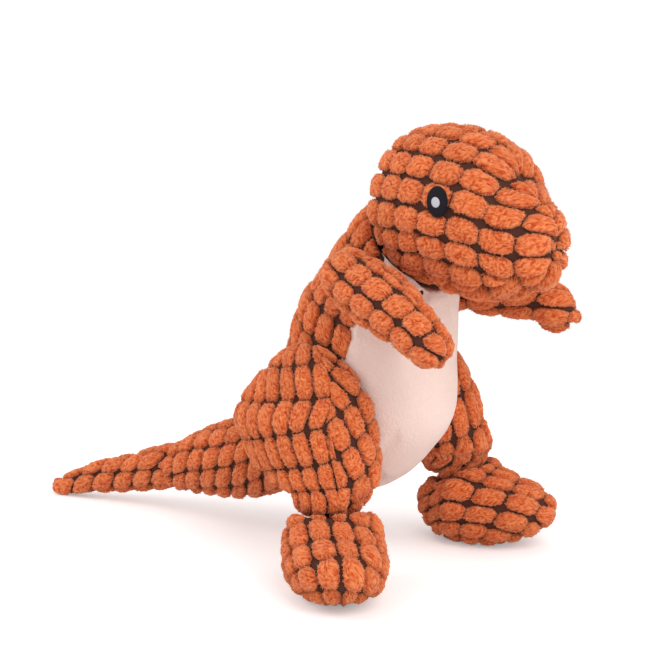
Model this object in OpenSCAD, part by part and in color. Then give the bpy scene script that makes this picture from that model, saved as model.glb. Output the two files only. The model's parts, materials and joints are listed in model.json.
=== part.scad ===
// Sewn plush dinosaur, sitting on its feet and tail. Millimetres.
// The front is -Y, up is +Z, the floor is z = 0.

/* [Placing] */
// How far the toy stands to the left of its own middle plane before centring
stand_x = -10.5; // [-20:0.5:20]
// How far its middle lies behind the body before centring
stand_y = 57.5; // [30:0.5:80]

/* [Cloth and seams] */
// Height of the plush over its backing, pile included
cloth = 4; // [2.5:0.5:6]
// Gap left at a sewn seam between two panels
seam_gap = 0.4; // [0.3:0.1:0.8]
// Gap between a panel and what it is wrapped round
wrap_gap = 1.1; // [0.6:0.1:1.6]
// Gap in the soft flexing seams
flex_gap = 0.7; // [0.5:0.1:1.2]
// Gap between the tail's end and the round root of its tip
tip_gap = 0; // [0:0.1:0.8]
// Extra room round the filling of the head and of the thighs
fill_room = 0.8; // [0.2:0.1:1.5]
// Extra room in a hollow that a round part turns in
dish_gap = 1.2; // [0.4:0.1:2]
// Gap at a seat that carries a loose or a turning piece, or a sole sewn on all round
seat_gap = 0.4; // [0.3:0.1:0.8]
// Angle each side of the front where the belly panel ends
belly_half = 72; // [50:1:85]

/* [Body heights] */
// Underside above the floor
under_z = 37; // [26:1:44]
// Rise to the seat ring
seat_rise = 12; // [8:1:20]
// Rise to the hip ring
hip_rise = 16; // [14:1:26]
// Rise to the waist ring
waist_rise = 24; // [18:1:32]
// Rise to the belly ring
belly_rise = 35; // [28:1:44]
// Rise to the chest ring
chest_rise = 31; // [24:1:38]
// Rise to the shoulder ring
shoulder_rise = 22; // [16:1:28]
// Rise to the top of the neck
neck_rise = 48; // [34:1:50]

/* [Body widths] */
// Seat width
seat_w = 56; // [44:1:66]
// Hip width
hip_w = 83; // [70:1:96]
// Waist width
waist_w = 92; // [80:1:106]
// Belly width
belly_w = 99; // [80:1:106]
// Chest width
chest_w = 80; // [70:1:94]
// Shoulder width
shoulder_w = 70; // [56:1:78]

/* [Body depths] */
// Seat depth
seat_d = 54; // [42:1:60]
// Hip depth
hip_d = 90; // [66:1:98]
// Waist depth
waist_d = 104; // [84:1:114]
// Belly depth
belly_d = 102; // [84:1:110]
// Chest depth
chest_d = 99; // [78:1:106]
// Shoulder depth
shoulder_d = 88; // [64:1:96]

/* [Body stance] */
// Underside, behind the middle
under_y = 8; // [4:1:20]
// Seat ring, behind the middle
seat_y = 3; // [-2:1:16]
// Hip ring, behind the middle
hip_y = 3; // [-4:1:10]
// Waist ring
waist_y = -6; // [-12:1:2]
// Belly ring
belly_y = -7; // [-16:1:-2]
// Chest ring
chest_y = -12; // [-25:1:-6]
// Shoulder ring
shoulder_y = -22; // [-34:1:-16]
// Top of the neck
neck_y = -28; // [-42:1:-20]

/* [Neck seam] */
// Neck turning axis in front of the shoulder ring's middle
neck_fwd = 37; // [28:1:44]
// Height of the middle of the neck seat above the shoulder ring
neck_up = 35; // [28:1:42]
// Radius of the round neck seat under the head
neck_r = 43; // [38:0.5:48]
// Headroom kept under the chin, below the middle of the neck seat
chin_room = 44.5; // [42:0.5:50]

// How far the head turns each way
neck_turn = 12; // [5:1:30]

/* [Head lengths from the neck axis, plus is back] */
// Back of the head
nape_l = 39; // [34:1:44]
// Nape ring
poll_l = 34; // [28:1:36]
// Ear ring
ear_l = 24; // [16:1:30]
// Crown ring
crown_l = -5; // [-10:1:4]
// Brow ring
brow_l = -37; // [-38:1:-26]
// Muzzle ring
muzzle_l = -53; // [-60:1:-48]
// Nose ring
nose_l = -70; // [-72:1:-64]
// Nose tip
snout_l = -76; // [-82:1:-70]

/* [Head widths] */
// Nape width
poll_w = 50; // [44:1:62]
// Ear width
ear_w = 82; // [72:1:92]
// Crown width
crown_w = 94; // [82:1:106]
// Brow width
brow_w = 88; // [74:1:96]
// Muzzle width
muzzle_w = 67; // [56:1:76]
// Nose width
nose_w = 41; // [32:1:48]

/* [Head heights] */
// Nape height
poll_h = 54; // [44:1:62]
// Ear height
ear_h = 84; // [72:1:92]
// Crown height
crown_h = 92; // [80:1:104]
// Brow height
brow_h = 87; // [70:1:94]
// Muzzle height
muzzle_h = 62; // [56:1:76]
// Nose height
nose_h = 42; // [34:1:50]
// Middle of the crown above the middle of the neck seat
crown_up = 4; // [-2:1:8]
// Brow below the crown
brow_drop = 6; // [2:1:12]
// Muzzle below the brow
muzzle_drop = 8; // [5:0.5:14]
// Nose below the muzzle
nose_drop = 4; // [1:0.5:8]
// Half angle of the chin panel, from straight down
chin_half = 38; // [25:1:55]

/* [Eyes] */
// Eye behind the nose tip
eye_back = 51; // [44:1:58]
// Eye angle from straight up
eye_angle = 79; // [70:1:88]
// Eye patch width along the head
eye_w = 12; // [9:0.5:15]
// Eye patch height
eye_h = 17; // [13:0.5:20]
// Eye patch thickness
eye_t = 1.2; // [0.8:0.1:2]
// Size of the light dot
dot_d = 4.5; // [3:0.5:6]
// Thickness of the light dot
dot_t = 0.6; // [0.4:0.1:1]
// Gap under each eye piece
eye_gap = 0.35; // [0.3:0.05:0.6]

/* [Arms] */
// Radius of the round shoulder end
arm_root_r = 16; // [13:0.5:19]
// Thickest arm radius
arm_mid_r = 18; // [15:0.5:21]
// Wrist radius
wrist_r = 15; // [12:0.5:18]
// Hand radius
hand_r = 13.5; // [9:0.5:15]
// Shoulder to thickest part
arm_mid_l = 27; // [22:1:34]
// Thickest part to wrist
arm_wrist_l = 28; // [22:1:34]
// Wrist to hand
arm_hand_l = 18; // [12:1:24]
// Hand to its tip
arm_tip_l = 12; // [9:1:18]
// Outward bow of the arm
arm_bow = 1; // [0:0.5:8]
// Shoulder, in front of the middle
arm_y = -28; // [-34:1:-22]
// Right shoulder above the shoulder ring
arm_up_r = 1; // [-6:1:6]
// Left shoulder above the shoulder ring
arm_up_l = -15; // [-22:1:0]
// Right arm down from level
arm_pitch_r = 28; // [22:1:40]
// Left arm down from level
arm_pitch_l = 12; // [4:1:24]
// Right arm outwards from straight ahead
arm_yaw_r = 7.5; // [0:1:14]
// Left arm outwards from straight ahead
arm_yaw_l = 14; // [8:1:24]
// Right arm sag
arm_sag_r = 3; // [0:0.5:6]
// Left arm sag
arm_sag_l = 5; // [0:0.5:10]
// How far the right arm is pressed to the body
arm_press_r = 0.5; // [0:0.1:3]
// How far the left arm is pressed to the body
arm_press_l = 0.5; // [0:0.1:3]
// Shoulder travel up
arm_raise = 8; // [4:1:10]
// Shoulder travel down
arm_lower = 16; // [4:1:18]

/* [Thighs and legs] */
// Top of the thigh above the hip ring
thigh_top = 73; // [66:1:80]
// Thigh ring heights above the hip ring: upper
thigh_up = 61; // [54:1:64]
// Shoulder of the thigh
thigh_sh = 45; // [40:1:50]
// Fullest ring
thigh_mid = 28; // [18:1:32]
// Knee ring
knee_up = 0; // [-3:1:6]
// Leg ring above the ankle seat
leg_up = 18; // [14:1:22]
// Distance of the thigh's middle from the middle of the body
thigh_x = 52; // [48:0.5:58]
// Distance of the ankle from the middle of the body
ankle_x = 63; // [54:0.5:66]
// Thigh's middle, front to back
thigh_y = 1; // [-5:1:5]
// Knee, front to back
knee_y = -11; // [-15:1:-3]
// Ankle, front to back
ankle_y = -24; // [-30:1:-18]
// Upper thigh width
thigh_up_w = 40; // [32:1:48]
// Thigh shoulder width
thigh_sh_w = 53; // [50:1:66]
// Thigh width
thigh_w = 70; // [58:1:74]
// Knee width
knee_w = 56; // [46:1:62]
// Leg width
leg_w = 46; // [38:1:48]
// Upper thigh depth
thigh_up_d = 55; // [44:1:62]
// Thigh shoulder depth
thigh_sh_d = 80; // [70:1:88]
// Thigh depth
thigh_d = 91; // [78:1:96]
// Knee depth
knee_d = 80; // [68:1:86]
// Leg depth
leg_d = 50; // [44:1:54]
// Radius of the round ankle end
ankle_r = 24.5; // [21:0.5:27]
// Height of the middle of the ankle ball
ankle_z = 60; // [54:1:66]
// Seam down the thigh's front, from straight ahead
thigh_seam = 38; // [20:1:60]

/* [Feet] */
// Heel behind the ankle
heel_l = 25; // [18:1:28]
// Heel ring behind the ankle
heel_ring = 5; // [4:1:12]
// Instep ring ahead of the ankle
instep_l = 8; // [6:1:14]
// Ball ring beyond the instep
ball_l = 18; // [14:1:26]
// Toe ring beyond the ball
toe_l = 24; // [16:1:28]
// Tip ring beyond the toe ring
tip_l = 14; // [10:1:18]
// Tip beyond its ring
tip_end = 6; // [3:1:9]
// Heel width
heel_w = 38; // [30:1:46]
// Foot width
foot_w = 58; // [48:1:64]
// Toe width
toe_w = 48; // [38:1:54]
// Tip width
tip_w = 26; // [20:1:34]
// Heel height
heel_h = 42; // [34:1:46]
// Instep height
instep_h = 48; // [42:1:52]
// Ball height
ball_h = 45; // [38:1:48]
// Toe height
toe_h = 39.5; // [32:0.5:44]
// Tip height
tip_h = 35; // [26:1:38]
// How far the toe clears the floor
toe_lift = 5; // [0:0.5:8]
// How far the tip clears the floor
tip_lift = 12; // [5:0.5:16]
// Depth by which the round underside is flattened
sole_flat = 0.5; // [0:0.5:4]
// Thickness of the sole panel
sole_t = 3; // [2:0.5:4]
// Right foot turned out
foot_out_r = 44; // [30:1:48]
// Left foot turned out
foot_out_l = 10; // [5:1:22]
// Foot travel each way
foot_turn = 12; // [6:1:16]

/* [Tail] */
// Root ball behind the hip ring's back
tail_ball_back = 21; // [16:1:26]
// Root ball radius
tail_ball_r = 36; // [32:0.5:40]
// Root ball height
tail_ball_z = 59; // [50:1:60]
// Root width and height
tail_root_w = 56; // [52:1:66]
// Quarter ring, behind the root ball
tail_q_l = 12; // [6:1:18]
// Quarter ring width
tail_q_w = 52; // [44:1:58]
// Quarter ring height
tail_q_h = 57; // [45:1:59]
// Quarter ring middle, above the floor
tail_q_z = 49; // [44:1:54]
// Half ring beyond the quarter ring
tail_h_l = 42; // [36:1:48]
// Half ring width
tail_h_w = 41; // [32:1:46]
// Half ring height
tail_h_h = 44; // [38:1:52]
// Half ring middle
tail_h_z = 38.5; // [33:0.5:44]
// Tip joint beyond the half ring
tail_j_l = 32; // [26:1:38]
// Width and height at the tip joint
tail_j_w = 30; // [27:1:37]
// Tip joint middle
tail_j_z = 29; // [21:1:34]
// Third ring beyond the joint
tail_3_l = 29; // [22:1:34]
// Third ring width
tail_3_w = 25; // [20:1:30]
// Third ring height
tail_3_h = 27; // [22:1:32]
// Third ring middle
tail_3_z = 21.5; // [16:0.5:23]
// Fourth ring beyond the third
tail_4_l = 31; // [22:1:34]
// Fourth ring width
tail_4_w = 18; // [14:1:22]
// Fourth ring height
tail_4_h = 21; // [16:1:26]
// Fourth ring middle
tail_4_z = 14.5; // [10.5:0.5:16]
// Fifth ring beyond the fourth
tail_5_l = 23; // [20:1:32]
// Fifth ring width
tail_5_w = 12; // [9:1:15]
// Fifth ring height
tail_5_h = 14; // [10:1:14]
// Fifth ring middle
tail_5_z = 7.2; // [7:0.2:10]
// Tip beyond the fifth ring
tail_6_l = 12; // [8:1:20]
// Sideways bend at the tip, to the right
tail_bend = 19; // [0:1:24]
// Tail swing each way
tail_swing = 10; // [4:1:14]
// Tip swing each way
tip_swing = 14; // [6:1:18]

/* [Squeaker] */
// Case diameter
squeak_d = 38; // [30:1:44]
// Case thickness
squeak_t = 16; // [12:1:20]
// Case wall
squeak_wall = 1.2; // [0.8:0.1:2]
// Reed diameter
reed_d = 8; // [6:0.5:10]
// Reed length
reed_l = 9; // [6:0.5:12]
// Clearance of the reed in its neck
reed_gap = 0.15; // [0.1:0.05:0.3]
// Squeaker above the waist ring
squeak_up = 20; // [10:1:30]

/* [Hidden] */
orange = [0.86, 0.45, 0.26];
orange2 = [0.80, 0.40, 0.22];
pink = [0.92, 0.78, 0.72];
filling = [0.93, 0.93, 0.90];
dark = [0.15, 0.14, 0.16];
stuff = cloth + wrap_gap;
deep = stuff + fill_room;

// The toy's box is centred over the origin
module at() translate([-stand_x, -stand_y, 0]) children();

// A number between two values, a direction of length 1, and a soft step from 0 to 1
function lin(a, b, t) = a + (b - a) * t;
function unit(v) = v / norm(v);
function ramp(t) = let (q = max(0, min(1, t))) q * q * (3 - 2 * q);

// A smooth curve through the rows of P at row number s
function cr(P, s) =
  let (n = len(P) - 1, i = max(0, min(floor(s), n - 1)), t = s - i, b = P[i], c = P[i + 1])
  let (a = i == 0 ? 2 * b - c : P[i - 1], d = i == n - 1 ? 2 * c - b : P[i + 2])
  b + 0.5 * t * ((c - a) + t * ((2 * a - 5 * b + 4 * c - d) + t * (3 * (b - c) + d - a)));

// A row is [along, aside, up, width, height]; the curve runs through the squares of the half sizes
function half_sq(P) = [for (r = P) [r[0], r[1], r[2], r[3] * r[3] / 4, r[4] * r[4] / 4]];
function rmin(Q, s) = let (r = cr(Q, s)) sqrt(max(0, min(r[3], r[4])));
function find_s(Q, a, b, r, n) =
  n == 0 ? (a + b) / 2 : let (m = (a + b) / 2)
  rmin(Q, m) < r ? find_s(Q, m, b, r, n - 1) : find_s(Q, a, m, r, n - 1);
function s_from(Q, dep) = find_s(Q, 0, 1, dep + 1.2, 14);
function s_to(Q, dep) = let (n = len(Q) - 1) find_s(Q, n, n - 1, dep + 1.2, 14);
function ease(q) = lin(q, 0.5 - 0.5 * cos(180 * q), 0.6);

// A point of a soft form: frame F = [origin, along, aside, up], angle from aside towards up
function skin(F, Q, s, th, dep) =
  let (r = cr(Q, s), n = len(Q) - 1, t0 = Q[0][0], t1 = Q[n][0], tm = (t0 + t1) / 2)
  let (t = tm + (r[0] - tm) * (1 - 2 * dep / abs(t1 - t0)))
  let (ra = max(0.4, sqrt(max(0, r[3])) - dep), rb = max(0.4, sqrt(max(0, r[4])) - dep))
  F[0] + F[1] * t + F[2] * (r[1] + ra * cos(th)) + F[3] * (r[2] + rb * sin(th));

// Keep a point outside a ball, in front of it, or inside it
function out_of(p, c, r) = let (d = norm(p - c)) d >= r ? p : c + (p - c) * r / max(d, 0.01);
function behind(p, c, r) =
  let (q = r * r - pow(p[0] - c[0], 2) - pow(p[2] - c[2], 2))
  q <= 0 ? p : [p[0], min(p[1], c[1] - sqrt(q)), p[2]];
function into(p, c, r) = let (d = norm(p - c)) d <= r ? p : c + (p - c) * r / d;

// A closed sheet of cloth from a grid of outer and a grid of inner points
module sheet(O, I) {
  K = len(O);
  J = len(O[0]);
  N = K * J;
  pts = concat([for (r = O) each r], [for (r = I) each r]);
  top = [for (k = [0:K - 2], j = [0:J - 2]) let (a = k * J + j) each
    [[a, a + J + 1, a + 1], [a, a + J, a + J + 1]]];
  under = [for (f = top) [f[2] + N, f[1] + N, f[0] + N]];
  edge = concat([for (j = [0:J - 2]) [j, j + 1]], [for (k = [0:K - 2]) [k * J + J - 1, k * J + 2 * J - 1]],
    [for (j = [J - 1:-1:1]) [(K - 1) * J + j, (K - 1) * J + j - 1]],
    [for (k = [K - 1:-1:1]) [k * J, k * J - J]]);
  rim = [for (e = edge) each [[e[0], e[1], e[1] + N], [e[0], e[1] + N, e[0] + N]]];
  polyhedron(pts, concat(top, under, rim), convexity = 8);
}

// A closed solid from rings of points
module stack(R) {
  K = len(R);
  J = len(R[0]);
  pts = concat([for (r = R) each r], [mean(R[0])], [mean(R[K - 1])]);
  wall = [for (k = [0:K - 2], j = [0:J - 1]) let (a = k * J + j, b = k * J + (j + 1) % J) each
    [[a, b + J, b], [a, a + J, b + J]]];
  low = [for (j = [0:J - 1]) [K * J, j, (j + 1) % J]];
  high = [for (j = [0:J - 1]) [K * J + 1, (K - 1) * J + (j + 1) % J, (K - 1) * J + j]];
  polyhedron(pts, concat(wall, low, high), convexity = 8);
}
function mean(r) = [for (i = [0:2]) [for (p = r) p[i]] * [for (p = r) 1]] / len(r);

// ---- Body ----
seat_z = under_z + seat_rise;
hip_z = seat_z + hip_rise;
waist_z = hip_z + waist_rise;
belly_z = waist_z + belly_rise;
chest_z = belly_z + chest_rise;
shoulder_z = chest_z + shoulder_rise;
neck_z = shoulder_z + neck_rise;
body_rows = half_sq([[under_z, 0, under_y, 0, 0], [seat_z, 0, seat_y, seat_w, seat_d],
  [hip_z, 0, hip_y, hip_w, hip_d], [waist_z, 0, waist_y, waist_w, waist_d],
  [belly_z, 0, belly_y, belly_w, belly_d], [chest_z, 0, chest_y, chest_w, chest_d],
  [shoulder_z, 0, shoulder_y, shoulder_w, shoulder_d], [neck_z, 0, neck_y, 0, 0]]);
body_frame = [[0, 0, 0], [0, 0, 1], [1, 0, 0], [0, 1, 0]];
neck_c = [0, shoulder_y - neck_fwd, shoulder_z + neck_up];
chin_z = neck_c[2] - chin_room;
tail_c = [0, hip_y + hip_d / 2 + tail_ball_back, tail_ball_z];

// Row number of the body at height z, and its half width there at depth y with a gap g
function body_s(z, a, b, n) =
  n == 0 ? (a + b) / 2 : let (m = (a + b) / 2)
  cr(body_rows, m)[0] < z ? body_s(z, m, b, n - 1) : body_s(z, a, m, n - 1);
function body_half(y, z, g) =
  z <= under_z || z >= neck_z ? 0 :
  let (r = cr(body_rows, body_s(z, 0, 7, 16)), rl = sqrt(max(0, r[3])) + g, rs = sqrt(max(0, r[4])) + g)
  let (q = (y - r[2]) / rs) abs(q) >= 1 ? 0 : rl * sqrt(1 - q * q);

// Arm balls sit against the body's side
function side_lean(y, z) =
  let (a = body_half(y, z, 0), dy = (body_half(y + 1, z, 0) - a), dz = (body_half(y, z + 1, 0) - a))
  1 / sqrt(1 + dy * dy + dz * dz);
function arm_at(up, press) =
  let (z = shoulder_z + up, r = arm_root_r + flex_gap - press)
  [body_half(arm_y, z, 0) + r / side_lean(arm_y, z), arm_y, z];
arm_c_r = arm_at(arm_up_r, arm_press_r);
arm_c_l = arm_at(arm_up_l, arm_press_l);

// Tail root and arm roots press round hollows into the body
function body_fit(p, dep) =
  let (c = out_of(p, tail_c, tail_ball_r + flex_gap + dish_gap + dep))
  let (d = out_of(c, [-arm_c_r[0], arm_c_r[1], arm_c_r[2]], arm_root_r + flex_gap + dep))
  out_of(d, arm_c_l, arm_root_r + flex_gap + dep);
function body_raw(s, ph, dep) = skin(body_frame, body_rows, s, ph - 90, dep);
// The body is open at the neck: above the rim lies the round neck seat, and the room under the chin
function over_rim(p, extra) =
  norm(p - neck_c) < neck_r + flex_gap + dish_gap / 2 + extra ||
  p[2] > chin_z - extra + 1.2 * max(0, p[1] - neck_c[1] + 2);
function rim_s(ph, dep, extra, a, b, n) =
  n == 0 ? a : let (m = (a + b) / 2) over_rim(body_raw(m, ph, dep), extra) ?
    rim_s(ph, dep, extra, a, m, n - 1) : rim_s(ph, dep, extra, m, b, n - 1);
function body_grid(a, b, K, J, dep) =
  let (s0 = s_from(body_rows, dep), top = [for (j = [0:J]) rim_s(lin(a, b, j / J), dep, 0, 3.6, 6.95, 14)])
  [for (k = [0:K]) [for (j = [0:J])
    let (s = lin(s0, top[j], ease(k / K)), g = seam_gap * 28.65 / max(1.5, rmin(body_rows, s)))
    body_fit(body_raw(s, lin(a + g, b - g, j / J), dep), dep)]];

module back_panel_left() at() color(orange) sheet(body_grid(belly_half, 180, 18, 13, 0),
  body_grid(belly_half, 180, 18, 13, cloth));
module back_panel_right() at() color(orange) sheet(body_grid(180, 360 - belly_half, 18, 13, 0),
  body_grid(180, 360 - belly_half, 18, 13, cloth));
module belly_panel() at() color(pink) sheet(body_grid(-belly_half, belly_half, 18, 13, 0),
  body_grid(-belly_half, belly_half, 18, 13, cloth));

squeak_c = [0, waist_y, waist_z + squeak_up];
module squeak_room() translate(squeak_c) rotate([90, 0, 0])
  cylinder(h = squeak_t + 2 * seat_gap, d = squeak_d + 2 * seat_gap, center = true, $fn = 64);
// The stuffing's top is the hollow of the neck seat
seat_dir = unit([0, neck_fwd, -neck_up]);
function seat_pt(p, q, r) =
  let (a = neck_c + unit(lin(seat_dir, unit(p - neck_c), q)) * r)
  [a[0], a[1], min(a[2], chin_z - wrap_gap + 1.2 * max(0, a[1] - neck_c[1] + 2))];
module body_core() {
  n = 24;
  s0 = s_from(body_rows, stuff);
  top = [for (j = [0:n - 1]) rim_s(j * 360 / n, stuff, wrap_gap, 3.6, 6.95, 14)];
  rim = [for (j = [0:n - 1]) body_raw(top[j], j * 360 / n, stuff)];
  stack(concat([for (k = [0:18]) [for (j = [0:n - 1])
      body_fit(body_raw(lin(s0, top[j], ease(k / 18)), j * 360 / n, stuff), stuff)]],
    [for (q = [0.8, 0.55, 0.3, 0.08]) [for (p = rim) seat_pt(p, q, neck_r + flex_gap + wrap_gap)]]));
}
module body_stuffing() at() color(filling) difference() {
  body_core();
  squeak_room();
}
module squeaker_case() at() color([0.9, 0.9, 0.92]) translate(squeak_c) rotate([90, 0, 0])
  rotate_extrude($fn = 64) polygon([
  [reed_d / 2 + reed_gap, -squeak_t / 2], [squeak_d / 2, -squeak_t / 2], [squeak_d / 2, squeak_t / 2],
  [0, squeak_t / 2], [0, squeak_t / 2 - squeak_wall], [squeak_d / 2 - squeak_wall, squeak_t / 2 - squeak_wall],
  [squeak_d / 2 - squeak_wall, squeak_wall - squeak_t / 2],
  [reed_d / 2 + reed_gap + squeak_wall, squeak_wall - squeak_t / 2],
  [reed_d / 2 + reed_gap + squeak_wall, reed_l - squeak_t / 2],
  [reed_d / 2 + reed_gap, reed_l - squeak_t / 2]]);
module squeaker_reed() at() color([0.75, 0.2, 0.2]) translate(squeak_c) rotate([90, 0, 0])
  translate([0, 0, -squeak_t / 2]) difference() {
    cylinder(h = reed_l, d = reed_d, $fn = 48);
    translate([0, 0, -1]) cylinder(h = reed_l + 2, d = reed_d / 2, $fn = 48);
  }

// ---- Head ----
crown_z = crown_up;
brow_z = crown_z - brow_drop;
muzzle_z = brow_z - muzzle_drop;
nose_z = muzzle_z - nose_drop;
head_rows = half_sq([[-nape_l, 0, crown_z - 3, 0, 0], [-poll_l, 0, crown_z - 3, poll_w, poll_h],
  [-ear_l, 0, crown_z - 1.5, ear_w, ear_h], [-crown_l, 0, crown_z, crown_w, crown_h],
  [-brow_l, 0, brow_z, brow_w, brow_h], [-muzzle_l, 0, muzzle_z, muzzle_w, muzzle_h],
  [-nose_l, 0, nose_z, nose_w, nose_h], [-snout_l, 0, nose_z - 1, 0, 0]]);
// Along the head is forwards; the angle runs from the left side up
head_frame = [neck_c, [0, -1, 0], [1, 0, 0], [0, 0, 1]];
// How much a direction from the neck's middle points into the neck
function seat_w8(v) =
  ramp((v * [0, 0.45, -0.893] - 0.72) / 0.16);
function head_fit(p, dep) =
  let (v = p - neck_c, d = norm(v), u = v / max(d, 0.01), w = seat_w8(u), r = neck_r - dep)
  let (k = ramp((u[1] + 0.3) / 0.15) * ramp((-0.1 - u[2]) / 0.15), a = lin(d, min(d, r), k))
  d < 12 ? p : neck_c + u * lin(a, r, w);
function head_pt(s, th, dep) = head_fit(skin(head_frame, head_rows, s, th, dep), dep);
function head_grid(a, b, K, J, dep) =
  let (s0 = s_from(head_rows, dep), s1 = s_to(head_rows, dep))
  [for (k = [0:K])
    let (s = lin(s0, s1, ease(k / K)), g = seam_gap * 28.65 / max(1.5, rmin(head_rows, s)))
    [for (j = [0:J]) head_pt(s, lin(a + g, b - g, j / J), dep)]];
module head_half() sheet(head_grid(chin_half - 90, 90, 18, 13, 0),
  head_grid(chin_half - 90, 90, 18, 13, cloth));
module head_panel_left() at() color(orange) head_half();
module head_panel_right() at() color(orange) mirror([1, 0, 0]) head_half();
module chin_panel() at() color(orange2) sheet(head_grid(-90 - chin_half, chin_half - 90, 18, 8, 0),
  head_grid(-90 - chin_half, chin_half - 90, 18, 8, cloth));
module head_stuffing() at() color(filling) {
  s0 = s_from(head_rows, deep);
  s1 = s_to(head_rows, deep);
  stack([for (k = [0:18]) [for (j = [0:27]) head_pt(lin(s0, s1, ease(k / 18)), j * 360 / 28, deep)]]);
}

// Eye pieces follow the side of the head: u along it, v round it, in mm from the eye's middle
eye_along = -snout_l - eye_back;
function head_s(t, a, b, n) =
  n == 0 ? (a + b) / 2 : let (m = (a + b) / 2)
  cr(head_rows, m)[0] < t ? head_s(t, m, b, n - 1) : head_s(t, a, m, n - 1);
eye_s = head_s(eye_along, 0, 7, 16);
eye_rr = rmin(head_rows, eye_s);
function eye_pt(u, v, out) =
  skin(head_frame, head_rows, head_s(eye_along + u, 0, 7, 16), 90 - eye_angle - v * 57.3 / eye_rr, -out);
function eye_ring(w, h, v0, q, out) =
  [for (a = [0:20:340]) eye_pt(q * w / 2 * cos(a), v0 + q * h / 2 * sin(a), out)];
module patch(w, h, v0, base, t) stack([eye_ring(w, h, v0, 0.5, base), eye_ring(w, h, v0, 1, base),
  eye_ring(w, h, v0, 1, base + t), eye_ring(w, h, v0, 0.5, base + t)]);
module eye_patch() patch(eye_w, eye_h, 0, eye_gap, eye_t);
module eye_spot() patch(dot_d, dot_d, 0.5, 2 * eye_gap + eye_t, dot_t);
module eye_left() at() color(dark) eye_patch();
module eye_right() at() color(dark) mirror([1, 0, 0]) eye_patch();
module eye_dot_left() at() color([0.8, 0.8, 0.8]) eye_spot();
module eye_dot_right() at() color([0.8, 0.8, 0.8]) mirror([1, 0, 0]) eye_spot();

// ---- Arms ----
arm_2 = arm_mid_l + arm_wrist_l;
arm_3 = arm_2 + arm_hand_l;
function arm_rows(sag) = half_sq([[-arm_root_r, 0, 0, 0, 0], [0, 0, 0, 2 * arm_root_r, 2 * arm_root_r],
  [arm_mid_l, arm_bow, -sag, 2 * arm_mid_r, 2 * arm_mid_r],
  [arm_2, arm_bow / 2, -sag, 2 * wrist_r, 2 * wrist_r],
  [arm_3, 0, -sag / 3, 2 * hand_r, 2 * hand_r], [arm_3 + arm_tip_l, 0, 0, 0, 0]]);
function arm_frame(c, pitch, yaw) =
  let (t = [cos(pitch) * sin(yaw), -cos(pitch) * cos(yaw), -sin(pitch)], a = [cos(yaw), sin(yaw), 0])
  [c, t, a, cross(t, a) * -1];
function arm_fit(F, p, dep) =
  let (v = p - F[0], d = norm(v)) v * F[1] > 0 ? p : F[0] + v / max(d, 0.01) * (arm_root_r - dep);
function arm_grid(F, Q, a, b, K, J, dep) =
  let (s0 = s_from(Q, dep), s1 = s_to(Q, dep))
  [for (k = [0:K]) let (s = lin(s0, s1, ease(k / K)), r = max(1.5, rmin(Q, s)), g = seam_gap * 28.65 / r)
    [for (j = [0:J]) arm_fit(F, skin(F, Q, s, lin(a + g, b - g, j / J), dep), dep)]];
module arm_half(F, Q, a) sheet(arm_grid(F, Q, a, a + 180, 13, 8, cloth), arm_grid(F, Q, a, a + 180, 13, 8, 0));
module arm_core(F, Q) {
  s0 = s_from(Q, stuff);
  s1 = s_to(Q, stuff);
  stack([for (k = [13:-1:0]) [for (j = [0:15])
    arm_fit(F, skin(F, Q, lin(s0, s1, ease(k / 13)), j * 22.5, stuff), stuff)]]);
}
F_arm_r = arm_frame(arm_c_r, arm_pitch_r, arm_yaw_r);
F_arm_l = arm_frame(arm_c_l, arm_pitch_l, arm_yaw_l);
Q_arm_r = arm_rows(arm_sag_r);
Q_arm_l = arm_rows(arm_sag_l);
module arm_outer_right() at() color(orange) mirror([1, 0, 0]) arm_half(F_arm_r, Q_arm_r, -90);
module arm_inner_right() at() color(orange2) mirror([1, 0, 0]) arm_half(F_arm_r, Q_arm_r, 90);
module arm_stuffing_right() at() color(filling) mirror([1, 0, 0]) arm_core(F_arm_r, Q_arm_r);
module arm_outer_left() at() color(orange) arm_half(F_arm_l, Q_arm_l, -90);
module arm_inner_left() at() color(orange2) arm_half(F_arm_l, Q_arm_l, 90);
module arm_stuffing_left() at() color(filling) arm_core(F_arm_l, Q_arm_l);

// ---- Thighs and legs, drawn for the left side ----
ankle_c = [ankle_x, ankle_y, ankle_z];
leg_end = ankle_z - ankle_r;
leg_rows = half_sq([[hip_z + thigh_top, thigh_x - 2, thigh_y - 3, 0, 0],
  [hip_z + thigh_up, thigh_x - 3, thigh_y - 2, thigh_up_w, thigh_up_d],
  [hip_z + thigh_sh, thigh_x - 3, thigh_y - 1, thigh_sh_w, thigh_sh_d],
  [hip_z + thigh_mid, thigh_x, thigh_y, thigh_w, thigh_d],
  [hip_z + knee_up, lin(thigh_x, ankle_x, 0.5), knee_y, knee_w, knee_d],
  [leg_end + leg_up, ankle_x, ankle_y, leg_w, leg_d],
  [leg_end + leg_up / 2, ankle_x, ankle_y, leg_w * 0.82, leg_w * 0.82], [leg_end, ankle_x, ankle_y, 0, 0]]);
leg_frame = [[0, 0, 0], [0, 0, 1], [1, 0, 0], [0, 1, 0]];
function leg_raw(s, al, dep) = skin(leg_frame, leg_rows, s, al - 90, dep);
function leg_clear(p, g) = p[0] - body_half(p[1], p[2], g);
function leg_fit(p, dep) =
  let (a = p[2] < ankle_z ? into(p, ankle_c, ankle_r - dep) : p)
  [max(a[0], body_half(a[1], a[2], wrap_gap)), a[1], a[2]];
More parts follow.
